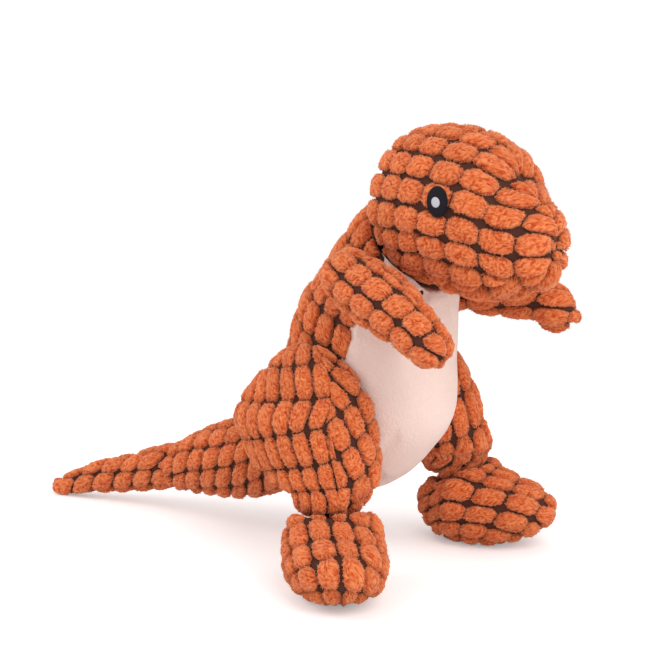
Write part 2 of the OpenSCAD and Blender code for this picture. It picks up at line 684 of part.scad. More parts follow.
// Angle at which the ring at row s meets the body, looked for between a (clear) and b
function meet(s, a, b, dep, g, n) =
  n == 0 ? a : let (m = (a + b) / 2)
  leg_clear(leg_raw(s, m, dep), g) > 0 ? meet(s, m, b, dep, g, n - 1) : meet(s, a, m, dep, g, n - 1);
function first_hit(s, a, step, dep, g, n) =
  n == 0 ? a : leg_clear(leg_raw(s, a + step, dep), g) <= 0 ? meet(s, a, a + step, dep, g, 8) :
  first_hit(s, a + step, step, dep, g, n - 1);
function leg_back(s, dep, g) = first_hit(s, 115, 12, dep, g, 10);
function leg_front(s, dep, g) = first_hit(s, thigh_seam - 3, -16, dep, g, 10);
function leg_grid(part, K, J, dep) =
  let (s0 = s_from(leg_rows, dep), s1 = s_to(leg_rows, dep), o0 = s_from(leg_rows, 0), o1 = s_to(leg_rows, 0))
  [for (k = [0:K])
    let (q = ease(k / K), s = lin(s0, s1, q), so = lin(o0, o1, q))
    let (g = seam_gap * 28.65 / max(1.5, rmin(leg_rows, s)))
    let (a = part == 0 ? thigh_seam + g : leg_front(so, 0, wrap_gap) + g)
    let (b = part == 0 ? leg_back(so, 0, wrap_gap) - g : thigh_seam - g)
    [for (j = [0:J]) leg_fit(leg_raw(s, lin(a, b, j / J), dep), dep)]];
module leg_sheet(part, J) sheet(leg_grid(part, 16, J, cloth), leg_grid(part, 16, J, 0));
// The filling follows the cloth outside, and the body's side inside
core_gap = wrap_gap + fill_room;
function core_top(a, b, n) =
  n == 0 ? b : let (m = (a + b) / 2)
  leg_clear(leg_raw(m, 90, deep), core_gap) > 3 ? core_top(a, m, n - 1) : core_top(m, b, n - 1);
function leg_ring(s) =
  let (a = max(-95, leg_front(s, deep, core_gap)), b = min(205, leg_back(s, deep, core_gap)))
  let (p = [for (j = [0:15]) leg_raw(s, lin(a, b, j / 15), deep)])
  concat(p, [for (i = [1:5]) let (y = lin(p[15][1], p[0][1], i / 6), z = p[0][2])
    let (q = leg_raw(s, lin(b, a + 360, i / 6), deep))
    [max(q[0], body_half(y, z, core_gap)), y, z]]);
module leg_core() {
  s0 = core_top(0, 1.6, 14);
  s1 = s_to(leg_rows, deep);
  stack([for (k = [16:-1:0]) [for (p = leg_ring(lin(s0, s1, ease(k / 16))))
    p[2] < ankle_z + 6 ? into(p, ankle_c, ankle_r - deep) : p]]);
}
module thigh_outer_left() at() color(orange) leg_sheet(0, 10);
module thigh_inner_left() at() color(orange2) leg_sheet(1, 10);
module thigh_stuffing_left() at() color(filling) leg_core();
module thigh_outer_right() at() color(orange) mirror([1, 0, 0]) leg_sheet(0, 10);
module thigh_inner_right() at() color(orange2) mirror([1, 0, 0]) leg_sheet(1, 10);
module thigh_stuffing_right() at() color(filling) mirror([1, 0, 0]) leg_core();

// ---- Feet, drawn for the left side ----
foot_1 = instep_l + ball_l;
foot_2 = foot_1 + toe_l;
foot_3 = foot_2 + tip_l;
function foot_row(t, w, h) = [t, 0, (h - sole_flat) / 2, w, h + sole_flat];
foot_rows = half_sq([[-heel_l, 0, heel_h / 2, 0, 0],
  foot_row(-heel_ring, heel_w, heel_h), foot_row(instep_l, foot_w, instep_h),
  foot_row(foot_1, foot_w, ball_h), [foot_2, 0, (toe_h + toe_lift) / 2, toe_w, toe_h - toe_lift],
  [foot_3, 0, (tip_h + tip_lift) / 2, tip_w, tip_h - tip_lift],
  [foot_3 + tip_end, 0, (tip_h + tip_lift) / 2, 0, 0]]);
function foot_frame(out) =
  [[ankle_x, ankle_y, 0], [sin(out), -cos(out), 0], [cos(out), sin(out), 0], [0, 0, 1]];
function foot_fit(p, dep, low) =
  let (a = out_of(p, ankle_c, ankle_r + flex_gap + dish_gap + dep)) [a[0], a[1], max(a[2], low)];
// Angle below the side at which a ring reaches height z
function foot_dip(s, z, dep) =
  let (r = cr(foot_rows, s), rb = max(0.5, sqrt(max(0, r[4])) - dep), q = (z - r[2]) / rb)
  q <= -1 ? -89.9 : asin(min(0.2, q));
sole_top = sole_t + seat_gap;
function foot_grid(F, K, J, dep) =
  let (s0 = s_from(foot_rows, dep), s1 = s_to(foot_rows, dep))
  [for (k = [0:K]) let (s = lin(s0, s1, ease(k / K)), d = foot_dip(s, sole_top, dep))
    [for (j = [0:J]) foot_fit(skin(F, foot_rows, s, lin(d, 180 - d, j / J), dep), dep, sole_top)]];
module foot_upper(F) sheet(foot_grid(F, 14, 14, 0), foot_grid(F, 14, 14, cloth));
module foot_core(F) {
  s0 = s_from(foot_rows, deep);
  s1 = s_to(foot_rows, deep);
  stack([for (k = [0:14]) [for (j = [0:17])
    foot_fit(skin(F, foot_rows, lin(s0, s1, ease(k / 14)), j * 20, deep), stuff, sole_top)]]);
}
function sole_half(s) =
  let (r = cr(foot_rows, s), rb = sqrt(max(0, r[4])), q = (sole_t - r[2]) / max(rb, 0.1))
  abs(q) >= 1 ? 0 : sqrt(max(0, r[3])) * sqrt(1 - q * q);
sole_s = [for (s = [0:0.25:6]) if (sole_half(s) > 2) s];
module sole(F) {
  a = [for (s = sole_s) [cr(foot_rows, s)[0], sole_half(s)]];
  n = len(sole_s) - 1;
  pts = concat(a, [for (k = [n:-1:0]) [a[k][0], -a[k][1]]]);
  linear_extrude(height = sole_t) polygon([for (p = pts)
    let (q = F[0] + F[1] * p[0] + F[2] * p[1]) [q[0], q[1]]]);
}
F_foot_r = foot_frame(foot_out_r);
F_foot_l = foot_frame(foot_out_l);
module foot_upper_right() at() color(orange) mirror([1, 0, 0]) foot_upper(F_foot_r);
module sole_right() at() color(orange2) mirror([1, 0, 0]) sole(F_foot_r);
module foot_stuffing_right() at() color(filling) mirror([1, 0, 0]) foot_core(F_foot_r);
module foot_upper_left() at() color(orange) foot_upper(F_foot_l);
module sole_left() at() color(orange2) sole(F_foot_l);
module foot_stuffing_left() at() color(filling) foot_core(F_foot_l);

// ---- Tail ----
tail_qy = tail_c[1] + tail_q_l;
tail_hy = tail_qy + tail_h_l;
tail_jy = tail_hy + tail_j_l;
tip_c = [0, tail_jy, tail_j_z];
tip_r = tail_j_w / 2 + 0.8;
tail_frame = [[0, 0, 0], [0, 1, 0], [1, 0, 0], [0, 0, 1]];
tail_end = tail_jy - 6;
tail_rows = half_sq([[tail_c[1] - tail_ball_r - 2, 0, tail_ball_z + 4, 0, 0],
  [tail_c[1] - tail_ball_r * 0.75, 0, tail_ball_z + 4, tail_root_w * 0.8, tail_root_w * 0.8],
  [tail_c[1] - tail_ball_r * 0.5, 0, tail_ball_z + 4, tail_root_w, tail_root_w],
  [tail_qy, 0, tail_q_z, tail_q_w, tail_q_h], [tail_hy, 0, tail_h_z, tail_h_w, tail_h_h],
  [tail_end, 0, tail_j_z + 1, tail_j_w + 1, tail_j_w + 1]]);
function tail_fit(p, dep) =
  let (a = p[1] < tail_c[1] ? into(p, tail_c, tail_ball_r - dep) : p)
  behind(a, tip_c, tip_r + tip_gap + (dep > cloth ? seat_gap : 0));
function tail_flat(s, th, dep) =
  let (r = cr(tail_rows, s), ra = sqrt(max(0, r[3])) - dep, rb = sqrt(max(0, r[4])) - dep)
  tail_fit([max(0.4, ra) * cos(th), r[0] + dep * max(0, 1 - s), r[2] + max(0.4, rb) * sin(th)], dep);
function tail_grid(a, b, K, J, dep) =
  let (s0 = s_from(tail_rows, dep))
  [for (k = [0:K]) let (s = lin(s0, 5, pow(k / K, 1.2)), g = seam_gap * 28.65 / max(1.5, rmin(tail_rows, s)))
    [for (j = [0:J]) tail_flat(s, lin(a + g, b - g, j / J), dep)]];
module tail_half() sheet(tail_grid(-90, 90, 15, 10, cloth), tail_grid(-90, 90, 15, 10, 0));
module tail_panel_left() at() color(orange) tail_half();
module tail_panel_right() at() color(orange) mirror([1, 0, 0]) tail_half();
module tail_stuffing() at() color(filling) {
  s0 = s_from(tail_rows, stuff);
  hollow = [0.05, 0.22, 0.4, 0.56, 0.7, 0.82, 0.92];
  stack(concat([for (q = hollow) [for (j = [0:19]) let (p = tail_flat(5, j * 18, stuff))
      tail_fit([p[0] * q, tail_end, lin(tail_j_z, p[2], q)], stuff)]],
    [for (k = [15:-1:0]) [for (j = [0:19]) tail_flat(lin(s0, 5, pow(k / 15, 1.2)), j * 18, stuff)]]));
}
tail_3y = tail_jy + tail_3_l;
tail_4y = tail_3y + tail_4_l;
tail_5y = tail_4y + tail_5_l;
tail_6y = tail_5y + tail_6_l;
function bend(y) = -tail_bend * pow((y - tail_jy) / (tail_6y - tail_jy), 1.6);
tip_rows = half_sq([[tail_jy - tip_r, 0, tail_j_z, 0, 0], [tail_jy, 0, tail_j_z, tail_j_w, tail_j_w],
  [tail_3y, bend(tail_3y), tail_3_z, tail_3_w, tail_3_h],
  [tail_4y, bend(tail_4y), tail_4_z, tail_4_w, tail_4_h],
  [tail_5y, bend(tail_5y), tail_5_z, tail_5_w, tail_5_h], [tail_6y, bend(tail_6y), tail_5_h / 2 - 1, 0, 0]]);
function tip_pt(s, th, dep) =
  let (p = skin(tail_frame, tip_rows, s, th, dep)) p[1] < tail_jy ? into(p, tip_c, tip_r - dep) : p;
function tip_grid(a, b, K, J, dep) =
  let (s0 = s_from(tip_rows, dep), s1 = s_to(tip_rows, dep))
  [for (k = [0:K]) let (s = lin(s0, s1, ease(k / K)), g = seam_gap * 28.65 / max(1.5, rmin(tip_rows, s)))
    [for (j = [0:J]) tip_pt(s, lin(a + g, b - g, j / J), dep)]];
tip_cloth = min(cloth, tail_5_w / 2 - 2);
module tail_tip_left() at() color(orange) sheet(tip_grid(-90, 90, 14, 8, tip_cloth),
  tip_grid(-90, 90, 14, 8, 0));
module tail_tip_right() at() color(orange) sheet(tip_grid(90, 270, 14, 8, tip_cloth),
  tip_grid(90, 270, 14, 8, 0));
module tail_tip_stuffing() at() color(filling) {
  s0 = s_from(tip_rows, stuff);
  s1 = s_to(tip_rows, stuff + 0.4);
  stack([for (k = [12:-1:0]) [for (j = [0:13]) tip_pt(lin(s0, s1, ease(k / 12)), j * 360 / 14, stuff)]]);
}

back_panel_right();
back_panel_left();
belly_panel();
body_stuffing();
squeaker_case();
squeaker_reed();
head_panel_right();
head_panel_left();
chin_panel();
head_stuffing();
eye_right();
eye_left();
eye_dot_right();
eye_dot_left();
arm_outer_right();
arm_inner_right();
arm_stuffing_right();
arm_outer_left();
arm_inner_left();
arm_stuffing_left();
thigh_outer_right();
thigh_inner_right();
thigh_stuffing_right();
thigh_outer_left();
thigh_inner_left();
thigh_stuffing_left();
foot_upper_right();
sole_right();
foot_stuffing_right();
foot_upper_left();
sole_left();
foot_stuffing_left();
tail_panel_right();
tail_panel_left();
tail_stuffing();
tail_tip_right();
tail_tip_left();
tail_tip_stuffing();
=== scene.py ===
import json
import math

import bmesh
import bpy
import numpy as np
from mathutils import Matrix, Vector


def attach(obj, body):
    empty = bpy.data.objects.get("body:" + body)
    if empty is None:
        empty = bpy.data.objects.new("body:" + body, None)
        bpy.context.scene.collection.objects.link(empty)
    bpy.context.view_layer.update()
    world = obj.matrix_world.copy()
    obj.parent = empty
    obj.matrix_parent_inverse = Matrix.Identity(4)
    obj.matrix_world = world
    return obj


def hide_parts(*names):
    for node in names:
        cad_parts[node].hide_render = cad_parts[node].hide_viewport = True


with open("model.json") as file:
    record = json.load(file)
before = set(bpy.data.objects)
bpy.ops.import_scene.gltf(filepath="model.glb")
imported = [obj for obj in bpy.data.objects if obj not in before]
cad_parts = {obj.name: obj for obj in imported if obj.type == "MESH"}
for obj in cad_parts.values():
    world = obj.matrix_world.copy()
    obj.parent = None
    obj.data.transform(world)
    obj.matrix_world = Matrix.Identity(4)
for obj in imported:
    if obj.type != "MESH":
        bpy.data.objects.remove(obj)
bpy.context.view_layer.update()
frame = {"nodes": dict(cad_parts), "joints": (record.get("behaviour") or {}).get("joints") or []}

# ---- Camera, light and floor ----
# A soft toy on a pale studio floor. Lengths below are millimetres, measured from the toy's own
# middle plane, its left side being +X and its front -Y; `set_down` brings them to where it stands.
neck_middle = np.array((0.0, -59.0, 212.0))
joint_at = {j["name"]: np.array(j["pos_m"]) * 1000 for j in frame["joints"]}
set_down = joint_at["neck_turn"] - neck_middle


def metres(points, side=1):
    """Points of the left half, or mirrored to the right with side = -1, to metres in the frame."""
    p = np.array(points, float) * (side, 1, 1)
    return (p + set_down) / 1000


# Where the camera stands: turned from the front, lifted, and how far away
turn, lift, away = math.radians(-52.7), math.radians(9.9), 1064.0
look_at = np.array((0.0, 24.0, 139.0))
lens_length, frame_shift = 98.5, -0.011
back = np.array((math.sin(turn) * math.cos(lift), -math.cos(turn) * math.cos(lift), math.sin(lift)))
camera = bpy.data.objects.new("camera", bpy.data.cameras.new("camera"))
bpy.context.scene.collection.objects.link(camera)
camera.location = metres(look_at + back * away)
camera.rotation_euler = Vector(back).to_track_quat("Z", "Y").to_euler()
camera.data.sensor_width = 36
camera.data.lens = lens_length
camera.data.shift_x = frame_shift
camera.data.clip_start, camera.data.clip_end = 0.05, 20
bpy.context.scene.camera = camera
bpy.context.scene.view_settings.view_transform = "Standard"


def soft_light(name, place, size, watts, colour):
    """A square lamp that points at the toy's middle."""
    data = bpy.data.lights.new(name, "AREA")
    data.size, data.energy, data.color = size, watts, colour
    lamp = bpy.data.objects.new(name, data)
    bpy.context.scene.collection.objects.link(lamp)
    lamp.location = place
    lamp.rotation_euler = Vector(Vector(place) - Vector((0, 0, 0.12))).to_track_quat("Z", "Y").to_euler()


soft_light("key", (-0.7, -1.25, 1.35), 1.0, 11, (1.0, 0.99, 0.97))
soft_light("fill", (0.5, -1.5, 0.7), 1.2, 5.2, (1.0, 1.0, 1.0))
soft_light("rim", (-0.9, 1.2, 1.0), 0.9, 9, (1.0, 0.99, 0.98))

# White all round, and seen as plain white behind the toy. The floor turns into it further off.
world = bpy.data.worlds.new("studio")
bpy.context.scene.world = world
world.use_nodes = True
studio = world.node_tree


def plug(node, sockets):
    """Gives each of these sockets of a node a value, or links it to a source."""
    for key, value in sockets.items():
        if isinstance(value, bpy.types.NodeSocket):
            node.id_data.links.new(value, node.inputs[key])
        else:
            node.inputs[key].default_value = value
    return node


def wired(tree, kind, sockets, **settings):
    """A new node in a tree, with its settings made and its sockets given."""
    node = tree.nodes.new(kind)
    for key, value in settings.items():
        setattr(node, key, value)
    return plug(node, sockets)


def maths(tree, how, *values):
    return wired(tree, "ShaderNodeMath", dict(enumerate(values)), operation=how).outputs[0]


def mixed(tree, factor, plain, other):
    return wired(tree, "ShaderNodeMixShader", {0: factor, 1: plain, 2: other}).outputs[0]


def seen_directly(tree):
    """1 for rays that come from the camera, straight or by a shiny surface."""
    path = tree.nodes.new("ShaderNodeLightPath").outputs
    return maths(tree, "MAXIMUM", path["Is Camera Ray"], path["Is Glossy Ray"])


def new_material(name):
    """A new material, its node tree and its shader."""
    m = bpy.data.materials.new(name)
    m.use_nodes = True
    return m, m.node_tree, m.node_tree.nodes["Principled BSDF"]


sky = plug(studio.nodes["Background"], {"Color": (1, 1, 1, 1), "Strength": 0.76})
white = wired(studio, "ShaderNodeBackground", {"Color": (1, 1, 1, 1)})
seen_sky = mixed(studio, seen_directly(studio), sky.outputs[0], white.outputs[0])
plug(studio.nodes["World Output"], {"Surface": seen_sky})

# How much brighter the floor is seen than lit, and from where to where it turns plain white, in metres
floor_lift, white_from, white_to = 0.3, 0.28, 0.7
floor = bpy.data.objects.new("floor", bpy.data.meshes.new("floor"))
floor.data.from_pydata([(-3, -3, 0), (3, -3, 0), (3, 3, 0), (-3, 3, 0)], [], [(0, 1, 2, 3)])
bpy.context.scene.collection.objects.link(floor)
paper, tree, card = new_material("pale floor")
seen = seen_directly(tree)
plug(card, {"Base Color": (0.93, 0.93, 0.93, 1), "Roughness": 0.9, "Specular IOR Level": 0.1,
            "Emission Color": (1, 1, 1, 1), "Emission Strength": maths(tree, "MULTIPLY", seen, floor_lift)})
spot = tree.nodes.new("ShaderNodeTexCoord").outputs["Object"]
distance = wired(tree, "ShaderNodeVectorMath", {0: spot}, operation="LENGTH").outputs["Value"]
far = wired(tree, "ShaderNodeMapRange", {"Value": distance, "From Min": white_from, "From Max": white_to},
            interpolation_type="SMOOTHSTEP").outputs["Result"]
glow = tree.nodes.new("ShaderNodeEmission").outputs[0]
shown = mixed(tree, maths(tree, "MULTIPLY", far, seen), card.outputs[0], glow)
plug(tree.nodes["Material Output"], {"Surface": shown})
floor.data.materials.append(paper)

# ---- Padded plush ----
# The toy's cloth: a brown knitted backing with small pads of curly orange pile, woven in even
# rows. Each pad is a low pillow, closed underneath, and its pile stands out of it in fine tufts.
backing_depth = 3.9
pile_high = 4.7
# How deep a pad's foot is sunk in the backing, and how much lower the pile is cut under an eye
pad_sunk, eye_cut = 0.4, 1.4
pad_fill = (0.98, 0.9)
# Across a pad, from its middle to its foot: how far out its skin runs, and how high
pad_profile = np.array([(0, 0, 1), (0.3, 0.4, 0.96), (0.55, 0.71, 0.84), (0.7, 0.88, 0.66),
                        (0.83, 1, 0.38), (1, 0.92, 0)])


def srgb(r, g, b):
    """A colour as it is seen, in 0 to 255, for a socket."""
    c = np.array((r, g, b), float) / 255
    return tuple(np.where(c <= 0.04045, c / 12.92, ((c + 0.055) / 1.055) ** 2.4)) + (1.0,)


def rows(*given):
    """Rows of [along, aside, up, width, height] of a soft form, kept as squares of half sizes."""
    q = np.array(given, float)
    q[:, 3:] = (q[:, 3:] / 2) ** 2
    return q


def row_at(q, s):
    """The rows at a row number between them, on a smooth curve through them."""
    n = len(q) - 1
    i = np.clip(np.floor(s), 0, n - 1).astype(int)
    t = (s - i)[..., None]
    b, c = q[i], q[i + 1]
    a = np.where((i == 0)[..., None], 2 * b - c, q[np.maximum(i - 1, 0)])
    d = np.where((i == n - 1)[..., None], 2 * c - b, q[np.minimum(i + 2, n)])
    return b + 0.5 * t * ((c - a) + t * ((2 * a - 5 * b + 4 * c - d) + t * (3 * (b - c) + d - a)))


def row_of(q, along, fine=141):
    """The row number at which a form reaches a length or height."""
    s = np.linspace(0, len(q) - 1, fine)
    reached = row_at(q, s)[:, 0]
    way = np.sign(reached[-1] - reached[0])
    return np.interp(way * along, way * reached, s)


def half_size(square, deep):
    """Half a width or height that is kept as a square, less the depth under the skin."""
    return np.maximum(0.4, np.sqrt(np.maximum(0, square)) - deep)


def skin(axes, q, s, angle, deep):
    """Points of a soft form: axes are [origin, along, aside, up], the angle runs from aside to up."""
    r = row_at(q, s)
    low, high = q[0][0], q[-1][0]
    mid = (low + high) / 2
    t = mid + (r[..., 0] - mid) * (1 - 2 * deep / abs(high - low))
    wide, tall = half_size(r[..., 3], deep), half_size(r[..., 4], deep)
    c, d = np.cos(np.radians(angle)), np.sin(np.radians(angle))
    o, al, si, up = [np.array(v, float) for v in axes]
    return (o + al * t[..., None] + si * (r[..., 1] + wide * c)[..., None]
            + up * (r[..., 2] + tall * d)[..., None])


def column(deep):
    """A depth, or a depth for each point, in the form that goes with points."""
    return np.asarray(deep)[..., None] if np.ndim(deep) else deep


def outside_ball(p, centre, radius):
    """Points, those inside a ball moved out to its surface."""
    v = p - centre
    d = np.linalg.norm(v, axis=-1, keepdims=True)
    return np.where(d >= radius, p, centre + v * radius / np.maximum(d, 0.01))


def inside_ball(p, centre, radius):
    """Points, those outside a ball moved in to its surface."""
    v = p - centre
    d = np.linalg.norm(v, axis=-1, keepdims=True)
    return np.where(d <= radius, p, centre + v * radius / np.maximum(d, 0.01))


def new_piece(name, points, faces, material):
    mesh = bpy.data.meshes.new(name)
    mesh.from_pydata([tuple(p) for p in points], [], [tuple(f) for f in faces])
    mesh.validate()
    mesh.shade_smooth()
    if material:
        mesh.materials.append(material)
    piece = bpy.data.objects.new(name, mesh)
    bpy.context.scene.collection.objects.link(piece)
    return piece


def quads(along, around, closed=False):
    """The four-sided faces between the rows of a grid of points, closed round if wanted."""
    faces = []
    for x in range(along - 1):
        for y in range(around if closed else around - 1):
            n = (y + 1) % around
            faces.append((x * around + y, x * around + n, (x + 1) * around + n, (x + 1) * around + y))
    return faces


def closed_rings(name, grid, side, material):
    """A closed skin through rings of points, its two ends drawn together."""
    along, around = grid.shape[:2]
    flat = metres(grid.reshape(-1, 3), side)
    faces = quads(along, around, True)
    m = along * around
    for j in range(around):
        n = (j + 1) % around
        faces += [(m, n, j), (m + 1, m - around + j, m - around + n)]
    ends = [flat[:around].mean(0), flat[-around:].mean(0)]
    piece = new_piece(name, np.vstack([flat, ends]), faces, material)
    turn_out(piece)
    return piece


def tube(name, form, s_from, s_to, deep, side, material, around=72, along=72):
    """A closed skin over a whole form, from end to end."""
    s = s_from + (s_to - s_from) * (0.5 - 0.5 * np.cos(np.linspace(0, math.pi, along)))
    a = np.arange(around) * 360 / around
    return closed_rings(name, form(*np.meshgrid(s, a, indexing="ij"), deep), side, material)


def turn_out(piece):
    """Makes the faces of a closed piece point outwards."""
    p = np.array([v.co for v in piece.data.vertices])
    volume = 0.0
    for f in piece.data.polygons:
        a, b, c = p[f.vertices[0]], p[f.vertices[1]], p[f.vertices[2]]
        volume += a.dot(np.cross(b, c))
        if len(f.vertices) == 4:
            volume += a.dot(np.cross(c, p[f.vertices[3]]))
    if volume < 0:
        piece.data.flip_normals()


def between(table, x, y):
    """The values of a table at places between its entries."""
    i, j = x.astype(int), y.astype(int)
    fx, fy = x - i, y - j
    return ((table[i, j] * (1 - fy) + table[i, j + 1] * fy) * (1 - fx)
            + (table[i + 1, j] * (1 - fy) + table[i + 1, j + 1] * fy) * fx)


class Cloth:
    """Lengths over a form: `along` from one end on the middle line, `across` round it from that line."""

    def __init__(self, form, s_range, middle, low, high, deep=1.2):
        self.form = form
        s = np.linspace(*s_range, 201)
        a = middle + np.linspace(-200, 200, 241)
        p = form(*np.meshgrid(s, a, indexing="ij"), deep)
        step = np.linalg.norm(np.diff(p, axis=1), axis=2)
        run = np.concatenate([np.zeros((len(s), 1)), np.cumsum(step, axis=1)], axis=1)
        across = run - run[:, 120:121]
        line = p[:, 120]
        along = np.concatenate([[0], np.cumsum(np.linalg.norm(np.diff(line, axis=0), axis=1))])
        self.length = along[-1]
        self.u = np.linspace(0, self.length, 201)
        self.s = np.interp(self.u, along, s)
        self.widest = 190.0
        self.v = np.linspace(-self.widest, self.widest, 381)
        table, self.least, self.most = [], [], []
        for su in self.s:
            i = min(int((su - s[0]) / (s[1] - s[0])), len(s) - 2)
            f = (su - s[i]) / (s[1] - s[0])
            w = across[i] * (1 - f) + across[i + 1] * f + np.arange(241) * 1e-6
            table.append(np.interp(self.v, w, a))
            self.least.append(np.interp(low(su), a, w))
            self.most.append(np.interp(high(su), a, w))
        self.table = np.array(table)
        self.least, self.most = np.array(self.least), np.array(self.most)

    def limits(self, u):
        return np.interp(u, self.u, self.least), np.interp(u, self.u, self.most)

    def room(self, u, v):
        """How far a place on the cloth lies inside its seams."""
        low, high = self.limits(np.clip(u, 0, self.length))
        return np.minimum(np.minimum(v - low, high - v), np.minimum(u, self.length - u))

    def at(self, u, v):
        """Row number and angle at a place on the cloth, or at the nearest seam to it."""
        u = np.clip(u, 0.05, self.length - 0.05)
        low, high = self.limits(u)
        v = np.clip(v, low, np.maximum(low, high))
        x = np.clip(u / self.length * 200, 0, 199.999)
        y = np.clip((v + self.widest) / (2 * self.widest) * 380, 0, 379.999)
        return np.interp(u, self.u, self.s), between(self.table, x, y)


def quilt(name, cloth, place, along, across, side=1, bend=(0.0, 0.0), seats=(), room_at=None, bare=None,
          puff=None, kept=None, smallest=0.13, seed=1):
    """Pads in even rows over a piece of cloth, cut off at its seams. One pad stands at `place`, the next
    ones at steps of `along` and `across`, and the rows bend by `bend`. `seats` are the balls the pads are
    pressed out of, `room_at` gives how far a place is from what covers the cloth, `bare` is true where
    the pile is cut away, `puff` gives how much higher than elsewhere it stands, and `kept` is above 0
    where it may stand at all. A pad of which less than the share `smallest` is left is left out."""
    rng = np.random.default_rng(seed)
    # The points of one pad, in rings from its middle to a square foot, and its taper to both ends
    long, wide = 31, 21
    a, b = np.meshgrid(np.linspace(-1, 1, long), np.linspace(-1, 1, wide), indexing="ij")
    far = np.maximum(np.abs(a), np.abs(b))
    x, y = a / np.maximum(far, 1e-6), b / np.maximum(far, 1e-6)
    plan, tall = (np.interp(far, pad_profile[:, 0], pad_profile[:, k]) for k in (1, 2))
    narrow = 1 - 0.42 * (np.clip(np.abs(x) - 0.45, 0, 1) / 0.55) ** 1.5
    shape_p = x * plan * pad_fill[0] / 2
    shape_q = y * narrow * plan * pad_fill[1] / 2
    long_step = np.hypot(*along)
    # How far the pile leans outwards, and the pad laid flat for its curls
    tilt = np.radians(np.interp(far, [0.25, 0.85], [0, 80]))[..., None]
    out_p, out_q = (x ** 3)[..., None], (y ** 3)[..., None]
    out_size = np.sqrt(out_p ** 2 + out_q ** 2)
    unroll = np.maximum(far, 0.02) ** -0.25
    curl_p, curl_q = a * unroll * long_step * 0.6, b * unroll * long_step * 0.6
    ring = [(i, 0) for i in range(long)] + [(long - 1, j) for j in range(1, wide)]
    ring += [(i, wide - 1) for i in range(long - 2, -1, -1)] + [(0, j) for j in range(wide - 2, 0, -1)]

    def laid(i, j):
        drift = np.where(i > 3, 6 * i - 9, np.where(i < -1.5, -3 * i - 2.25, i * i))
        return [place[k] + along[k] * i + across[k] * j + bend[k] * drift for k in (0, 1)]

    points, faces, parts = [], [], []
    # More pads than any cloth holds, those that lie off it being passed over
    for i in range(-14, 15):
        for j in range(-16, 17):
            u0, v0 = laid(np.float64(i), np.float64(j))
            if cloth.room(u0, v0) < -long_step / 2 or abs(v0) > 170:
                continue
            u, v = laid(i + shape_p * rng.uniform(0.97, 1.03) + rng.normal(0, 0.014),
                        j + shape_q * rng.uniform(0.97, 1.03) + rng.normal(0, 0.016))
            room = cloth.room(u, v)
            if (room > 0).mean() < smallest:
                continue
            s, angle = cloth.at(u, v)
            base = cloth.form(s, angle, backing_depth + pad_sunk)
            outer = cloth.form(s, angle, 0.2) - base
            ahead, behind, over, under = (cloth.form(*cloth.at(u + du, v + dv), backing_depth)
                                          for du, dv in ((0.8, 0), (-0.8, 0), (0, 0.8), (0, -0.8)))
            step_u, step_v = ahead - behind, over - under
            up = np.cross(step_u, step_v)
            up *= np.sign((up * outer).sum(-1, keepdims=True))
            flat = np.linalg.norm(up, axis=2, keepdims=True) < 0.2
            up = np.where(flat, outer, up)
            up /= np.maximum(np.linalg.norm(up, axis=2, keepdims=True), 1e-6)
            # Lower towards the seams and under the eye, and no higher than it may stand
            if room_at is not None:
                room = np.minimum(room, room_at(base))
                if (room > 0).mean() < smallest:
                    continue
            sewn = np.where(room > 0.15, 0.6 + 0.4 * np.clip(room / 3, 0, 1) ** 0.6, 0)
            rise = (pile_high + pad_sunk) * tall * rng.uniform(0.93, 1.05) * sewn
            if puff is not None:
                rise = rise * puff(base)
            if bare is not None:
                rise = np.where(bare(base), np.minimum(rise, pile_high - eye_cut), rise)
            free = np.ones(a.shape)
            if kept is not None:
                low, high = np.zeros(a.shape), np.ones(a.shape)
                for _ in range(5):
                    mid = (low + high) / 2
                    good = kept(base + up * (rise * mid)[..., None]) > 0
                    low, high = np.where(good, mid, low), np.where(good, high, mid)
                free = np.where(kept(base + up * rise[..., None]) > 0, 1, low)
                rise = rise * free
            pos = base + up * rise[..., None]
            for middle, radius in seats:
                pos = outside_ball(pos, middle, radius)
            # The way its pile leans, from the pad's own two directions
            row_way = (base[1:] - base[:-1]).sum((0, 1))
            side_way = (base[:, 1:] - base[:, :-1]).sum((0, 1))
            row_way /= np.linalg.norm(row_way)
            side_way /= np.linalg.norm(side_way)
            out = (row_way * out_p + side_way * out_q) / np.maximum(out_size, 1e-6)
            lean = up * np.cos(tilt) + out * np.sin(tilt)
            k = len(points) * a.size
            order = 1 if (np.cross(row_way, side_way) * up.sum((0, 1))).sum() * side > 0 else -1
            for m in range(long - 1):
                for n in range(wide - 1):
                    f = k + m * wide + n
                    faces.append((f, f + wide, f + wide + 1, f + 1)[::order])
            faces.append([k + m * wide + n for m, n in ring][::-order])
            points.append(pos.reshape(-1, 3))
            nap = np.interp(far, [0.45, 0.75, 0.93, 0.97], [0, 1, 1, 0]) * (room > 0.4) * (free > 0.8)
            if bare is not None:
                nap = np.where(bare(base), 0, nap)
            curl = np.stack([curl_p, curl_q, np.full(a.shape, rng.uniform(0, 900))], -1)
            loose = np.interp(far, [0.85, 1], [1, 0]) * np.clip(room, 0, 1) * free
            parts.append((lean.reshape(-1, 3), curl.reshape(-1, 3), np.full(a.size, rng.uniform(0, 1)),
                          nap.ravel(), loose.ravel()))
    piece = new_piece(name, metres(np.vstack(points), side), faces, None)
    lean, curl, tint, nap, loose = (np.concatenate([part[k] for part in parts]) for k in range(5))
    for key, value in (("lean", lean * (side, 1, 1)), ("curl", curl), ("tint", tint), ("nap", nap),
                       ("loose", loose)):
        kind, field = ("FLOAT_VECTOR", "vector") if value.ndim == 2 else ("FLOAT", "value")
        piece.data.attributes.new(key, kind, "POINT").data.foreach_set(field, value.ravel())
    return piece


